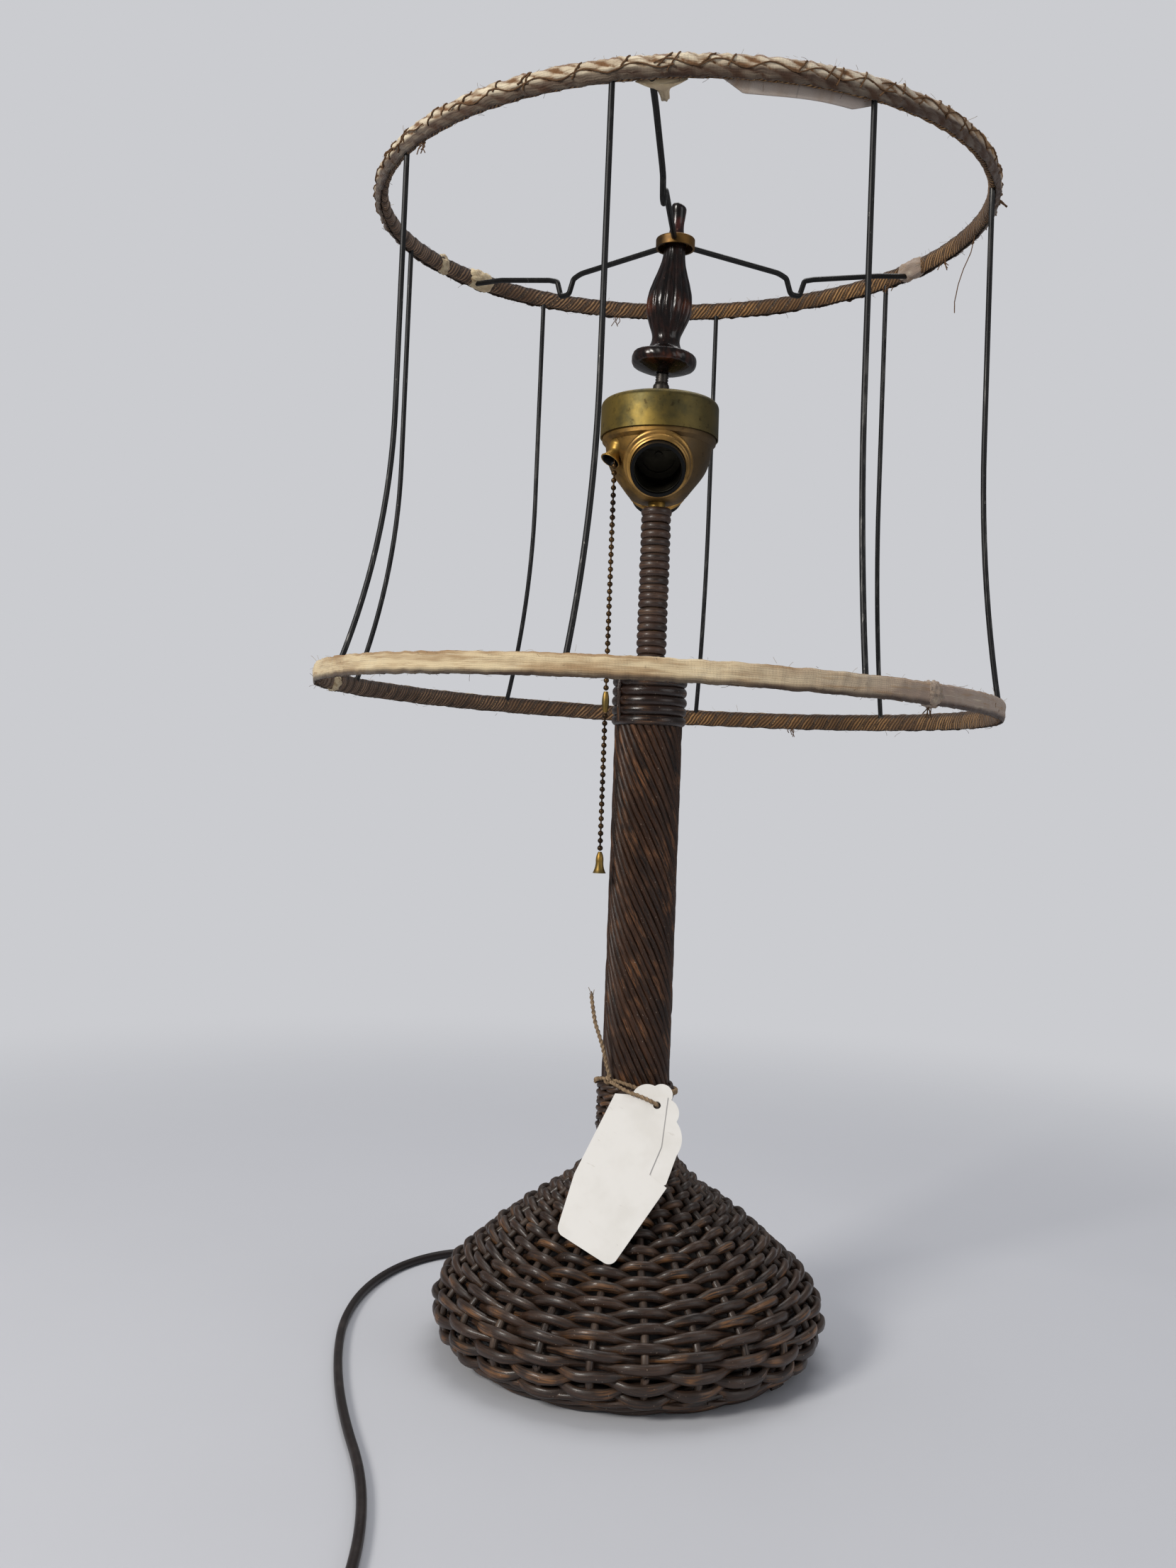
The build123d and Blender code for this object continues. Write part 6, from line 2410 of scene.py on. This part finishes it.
class PowerCord(Assembly):
    """The mains cord: out of the base, round to the front, and put away in a coil."""

    name = "cord"
    diameter = 5.0
    length = 1.8
    # The cord drops to the floor, rests on it along its route, and ends past the coil at the plug.
    rest = 2.7
    drop = ((-66.2, 124.5, 15.0), (-79.1, 139.8, 8.5))
    route = ((-100.3, 145.5), (-123.5, 139.3), (-142.8, 121.9), (-157.8, 95.9),
             (-167.5, 57.1), (-169.0, 12.0), (-163.0, -34.0), (-152.0, -84.0),
             (-138.0, -131.0), (-121.0, -178.0), (-111.0, -224.0), (-107.0, -270.0),
             (-108.2, -311.5))
    tail = ((-100.0, -339.0, 12.6), (-92.0, -349.0, 12.4), (-78.0, -352.0, 12.0),
            (-62.0, -350.5, 10.5), (-49.0, -352.0, 7.6), (-43.3, -360.0, 6.0),
            (-43.3, -369.0, 5.7))
    coil_centre = (-76.0, -330.0)
    turns = 7
    points_in_turn = 16

    def coil(self) -> list[Vector]:
        """Lay the coil's turns in layers, a diameter apart.

        Returns:
            The points, from the outermost turn inwards and back out.
        """
        # Radius and height at which each turn starts.
        places = [(33.0, 4.2), (27.9, 4.2), (22.8, 4.2), (22.8, 9.1), (27.9, 9.1), (33.0, 9.1),
                  (27.6, 12.3), (25.5, 12.6)]
        spots = []
        for step in range(self.points_in_turn * self.turns + 1):
            turn, part = divmod(step, self.points_in_turn)
            share = part / self.points_in_turn
            here, there = places[turn], places[min(turn + 1, len(places) - 1)]
            blend = share * share * (3.0 - 2.0 * share)
            radius = here[0] + (there[0] - here[0]) * blend
            height = here[1] + (there[1] - here[1]) * blend
            angle = 180.0 + 360.0 * share
            spots.append(Vector((*self.coil_centre, 0.0)) + on_azimuth(angle, radius, height))
        return spots

    def build(self) -> None:
        """Lay the cord and dress what is on it."""
        start = on_azimuth(118.0, 125.3, 16.0)
        spots = [start, *self.drop, *((x, y, self.rest) for x, y in self.route),
                 *self.coil(), *self.tail]
        data = bpy.data.curves.new("mains_cord", "CURVE")
        data.dimensions = "3D"
        spline = data.splines.new("NURBS")
        spline.points.add(len(spots) - 1)
        for point, spot in zip(spline.points, spots):
            point.co = (*mm(spot), 1.0)
        spline.order_u = 3
        spline.use_endpoint_u = True
        spline.resolution_u = 6
        data.bevel_depth = self.diameter / 2 * MM
        data.bevel_resolution = 4
        data.use_fill_caps = True
        data.materials.append(self.palette.cord)
        piece = bpy.data.objects.new("mains_cord", data)
        bpy.context.scene.collection.objects.link(piece)
        self.place(piece, "lamp", "cord", "cord_lead", "cord_coil")
        self.dress({
            "cord_relief": self.palette.plug, "coil_tie": self.palette.plug,
            "plug_body": self.palette.plug, "plug_blades": self.palette.brass,
        })


# ---------------------------------------------------------------- studio
class LightRole(Enum):
    """What each lamp of the studio does."""

    KEY = "key"
    FILL = "fill"
    TOP = "top"


@dataclass(frozen=True)
class SoftBox:
    """A square area light."""

    role: LightRole
    place: Point
    aim: Point
    size: float
    power: float
    colour: Colour = (1.0, 1.0, 1.0, 1.0)

    def add(self) -> None:
        """Hang the light."""
        data = bpy.data.lights.new(f"{self.role.value}_light", "AREA")
        data.size = self.size
        data.energy = self.power
        data.color = self.colour[:3]
        lamp = bpy.data.objects.new(data.name, data)
        lamp.location = self.place
        way = Vector(self.aim) - Vector(self.place)
        lamp.rotation_euler = way.to_track_quat("-Z", "Y").to_euler()
        bpy.context.scene.collection.objects.link(lamp)


class Studio:
    """Camera, floor, background and lights."""

    frame_height = 2212.0
    focal_pixels = 2012.6
    camera_place = (0.0, -0.840, 0.3214)
    yaw, pitch, roll = 2.34, 0.41, -2.14
    background = srgb(203, 204, 208)
    floor_colour = srgb(190, 191, 195)
    boxes = (
        SoftBox(LightRole.KEY, place=(-1.25, -1.35, 1.25), aim=(0.0, 0.0, 0.35), size=0.55,
                power=30.0, colour=(1.0, 0.97, 0.92, 1.0)),
        SoftBox(LightRole.FILL, place=(1.6, -1.1, 0.7), aim=(0.0, 0.0, 0.3), size=1.2,
                power=6.0),
        SoftBox(LightRole.TOP, place=(0.1, 0.5, 1.9), aim=(0.0, 0.0, 0.3), size=1.2,
                power=14.0),
    )

    def camera(self) -> None:
        """Set the camera in front of the lamp."""
        data = bpy.data.cameras.new("camera")
        data.lens = self.focal_pixels / self.frame_height * data.sensor_width
        data.clip_start = 0.01
        turned = (Matrix.Rotation(math.radians(self.yaw), 3, "Z")
                  @ Matrix.Rotation(math.radians(self.pitch), 3, "X")
                  @ Matrix.Rotation(math.radians(self.roll), 3, "Y"))
        right, forward, up = turned.col[0], turned.col[1], turned.col[2]
        axes = Matrix((right, up, -forward)).transposed()
        camera = bpy.data.objects.new("camera", data)
        camera.matrix_world = Matrix.Translation(self.camera_place) @ axes.to_4x4()
        bpy.context.scene.collection.objects.link(camera)
        bpy.context.scene.camera = camera

    def floor(self) -> None:
        """Lay a pale floor that fades into the background."""
        points = [(0.0, 0.0, -0.15)]
        count = 64
        for radius in (400.0, 800.0, 1500.0):
            points += [on_azimuth(360.0 * step / count, radius, -0.15) for step in range(count)]
        faces = [(0, 1 + step, 1 + (step + 1) % count) for step in range(count)]
        for band in range(2):
            low, high = 1 + band * count, 1 + (band + 1) * count
            for step in range(count):
                after = (step + 1) % count
                faces.append((low + step, high + step, high + after, low + after))
        floor = mesh_object("studio_floor", points, [], faces)
        made = Surface("studio_floor")
        x, y, _ = made.parts(made.place)
        radius = (x * x + y * y) ** 0.5
        mottle = made.noise(made.place, 12.0, 2.0, 0.5)
        colour = made.mix(mottle * 0.12, self.floor_colour, self.background)
        made.finish(colour, 0.85, Specular_IOR_Level=0.1)
        clear = made.node("ShaderNodeBsdfTransparent")
        fade = radius.band(0.42, 1.25)
        both = made.node("ShaderNodeMixShader", None,
                         {0: fade, 1: made.shader.outputs[0], 2: clear.outputs[0]})
        out = next(n for n in made.tree.nodes if n.bl_idname == "ShaderNodeOutputMaterial")
        made.feed(out.inputs[0], both.outputs[0])
        floor.data.materials.append(made.material)

    def world(self) -> None:
        """Give the lamp a pale background and an even ambient light."""
        world = bpy.data.worlds.new("studio_world")
        world.use_nodes = True
        tree = Tree(world.node_tree)
        tree.tree.nodes.clear()
        rays = tree.node("ShaderNodeLightPath")
        seen = Value(tree, rays.outputs["Is Camera Ray"])
        seen = seen.larger(Value(tree, rays.outputs["Is Transmission Ray"]))
        gloss = Value(tree, rays.outputs["Is Glossy Ray"])
        plain = tree.node("ShaderNodeBackground", None, {0: self.background, 1: 1.0})
        dim = tree.node("ShaderNodeBackground", None, {0: self.background, 1: 0.28})
        ambient = tree.node("ShaderNodeBackground", None, {0: (0.9, 0.92, 1.0, 1.0), 1: 0.4})
        shown = tree.node("ShaderNodeMixShader", None,
                          {0: gloss, 1: ambient.outputs[0], 2: dim.outputs[0]})
        both = tree.node("ShaderNodeMixShader", None,
                         {0: seen, 1: shown.outputs[0], 2: plain.outputs[0]})
        tree.node("ShaderNodeOutputWorld", None, {0: both.outputs[0]})
        bpy.context.scene.world = world

    def build(self) -> None:
        """Set up the whole studio."""
        self.camera()
        self.floor()
        self.world()
        for box in self.boxes:
            box.add()
        bpy.context.scene.view_settings.view_transform = "Standard"


def main() -> None:
    """Build the lamp's pieces in order."""
    logging.basicConfig(level=logging.INFO, format="%(name)s: %(message)s")
    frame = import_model()
    Studio().build()
    palette = Palette()
    recipes = Recipes()
    kinds = (PowerCord, WovenBase, WickerColumn, SocketCluster, PullChain, Spindle,
             ShadeFrame, ShadeFabric, ShopTag)
    for kind in kinds:
        kind(frame, palette, recipes).build()
        LOG.info("%s is built", kind.name)


if __name__ == "__main__":
    main()
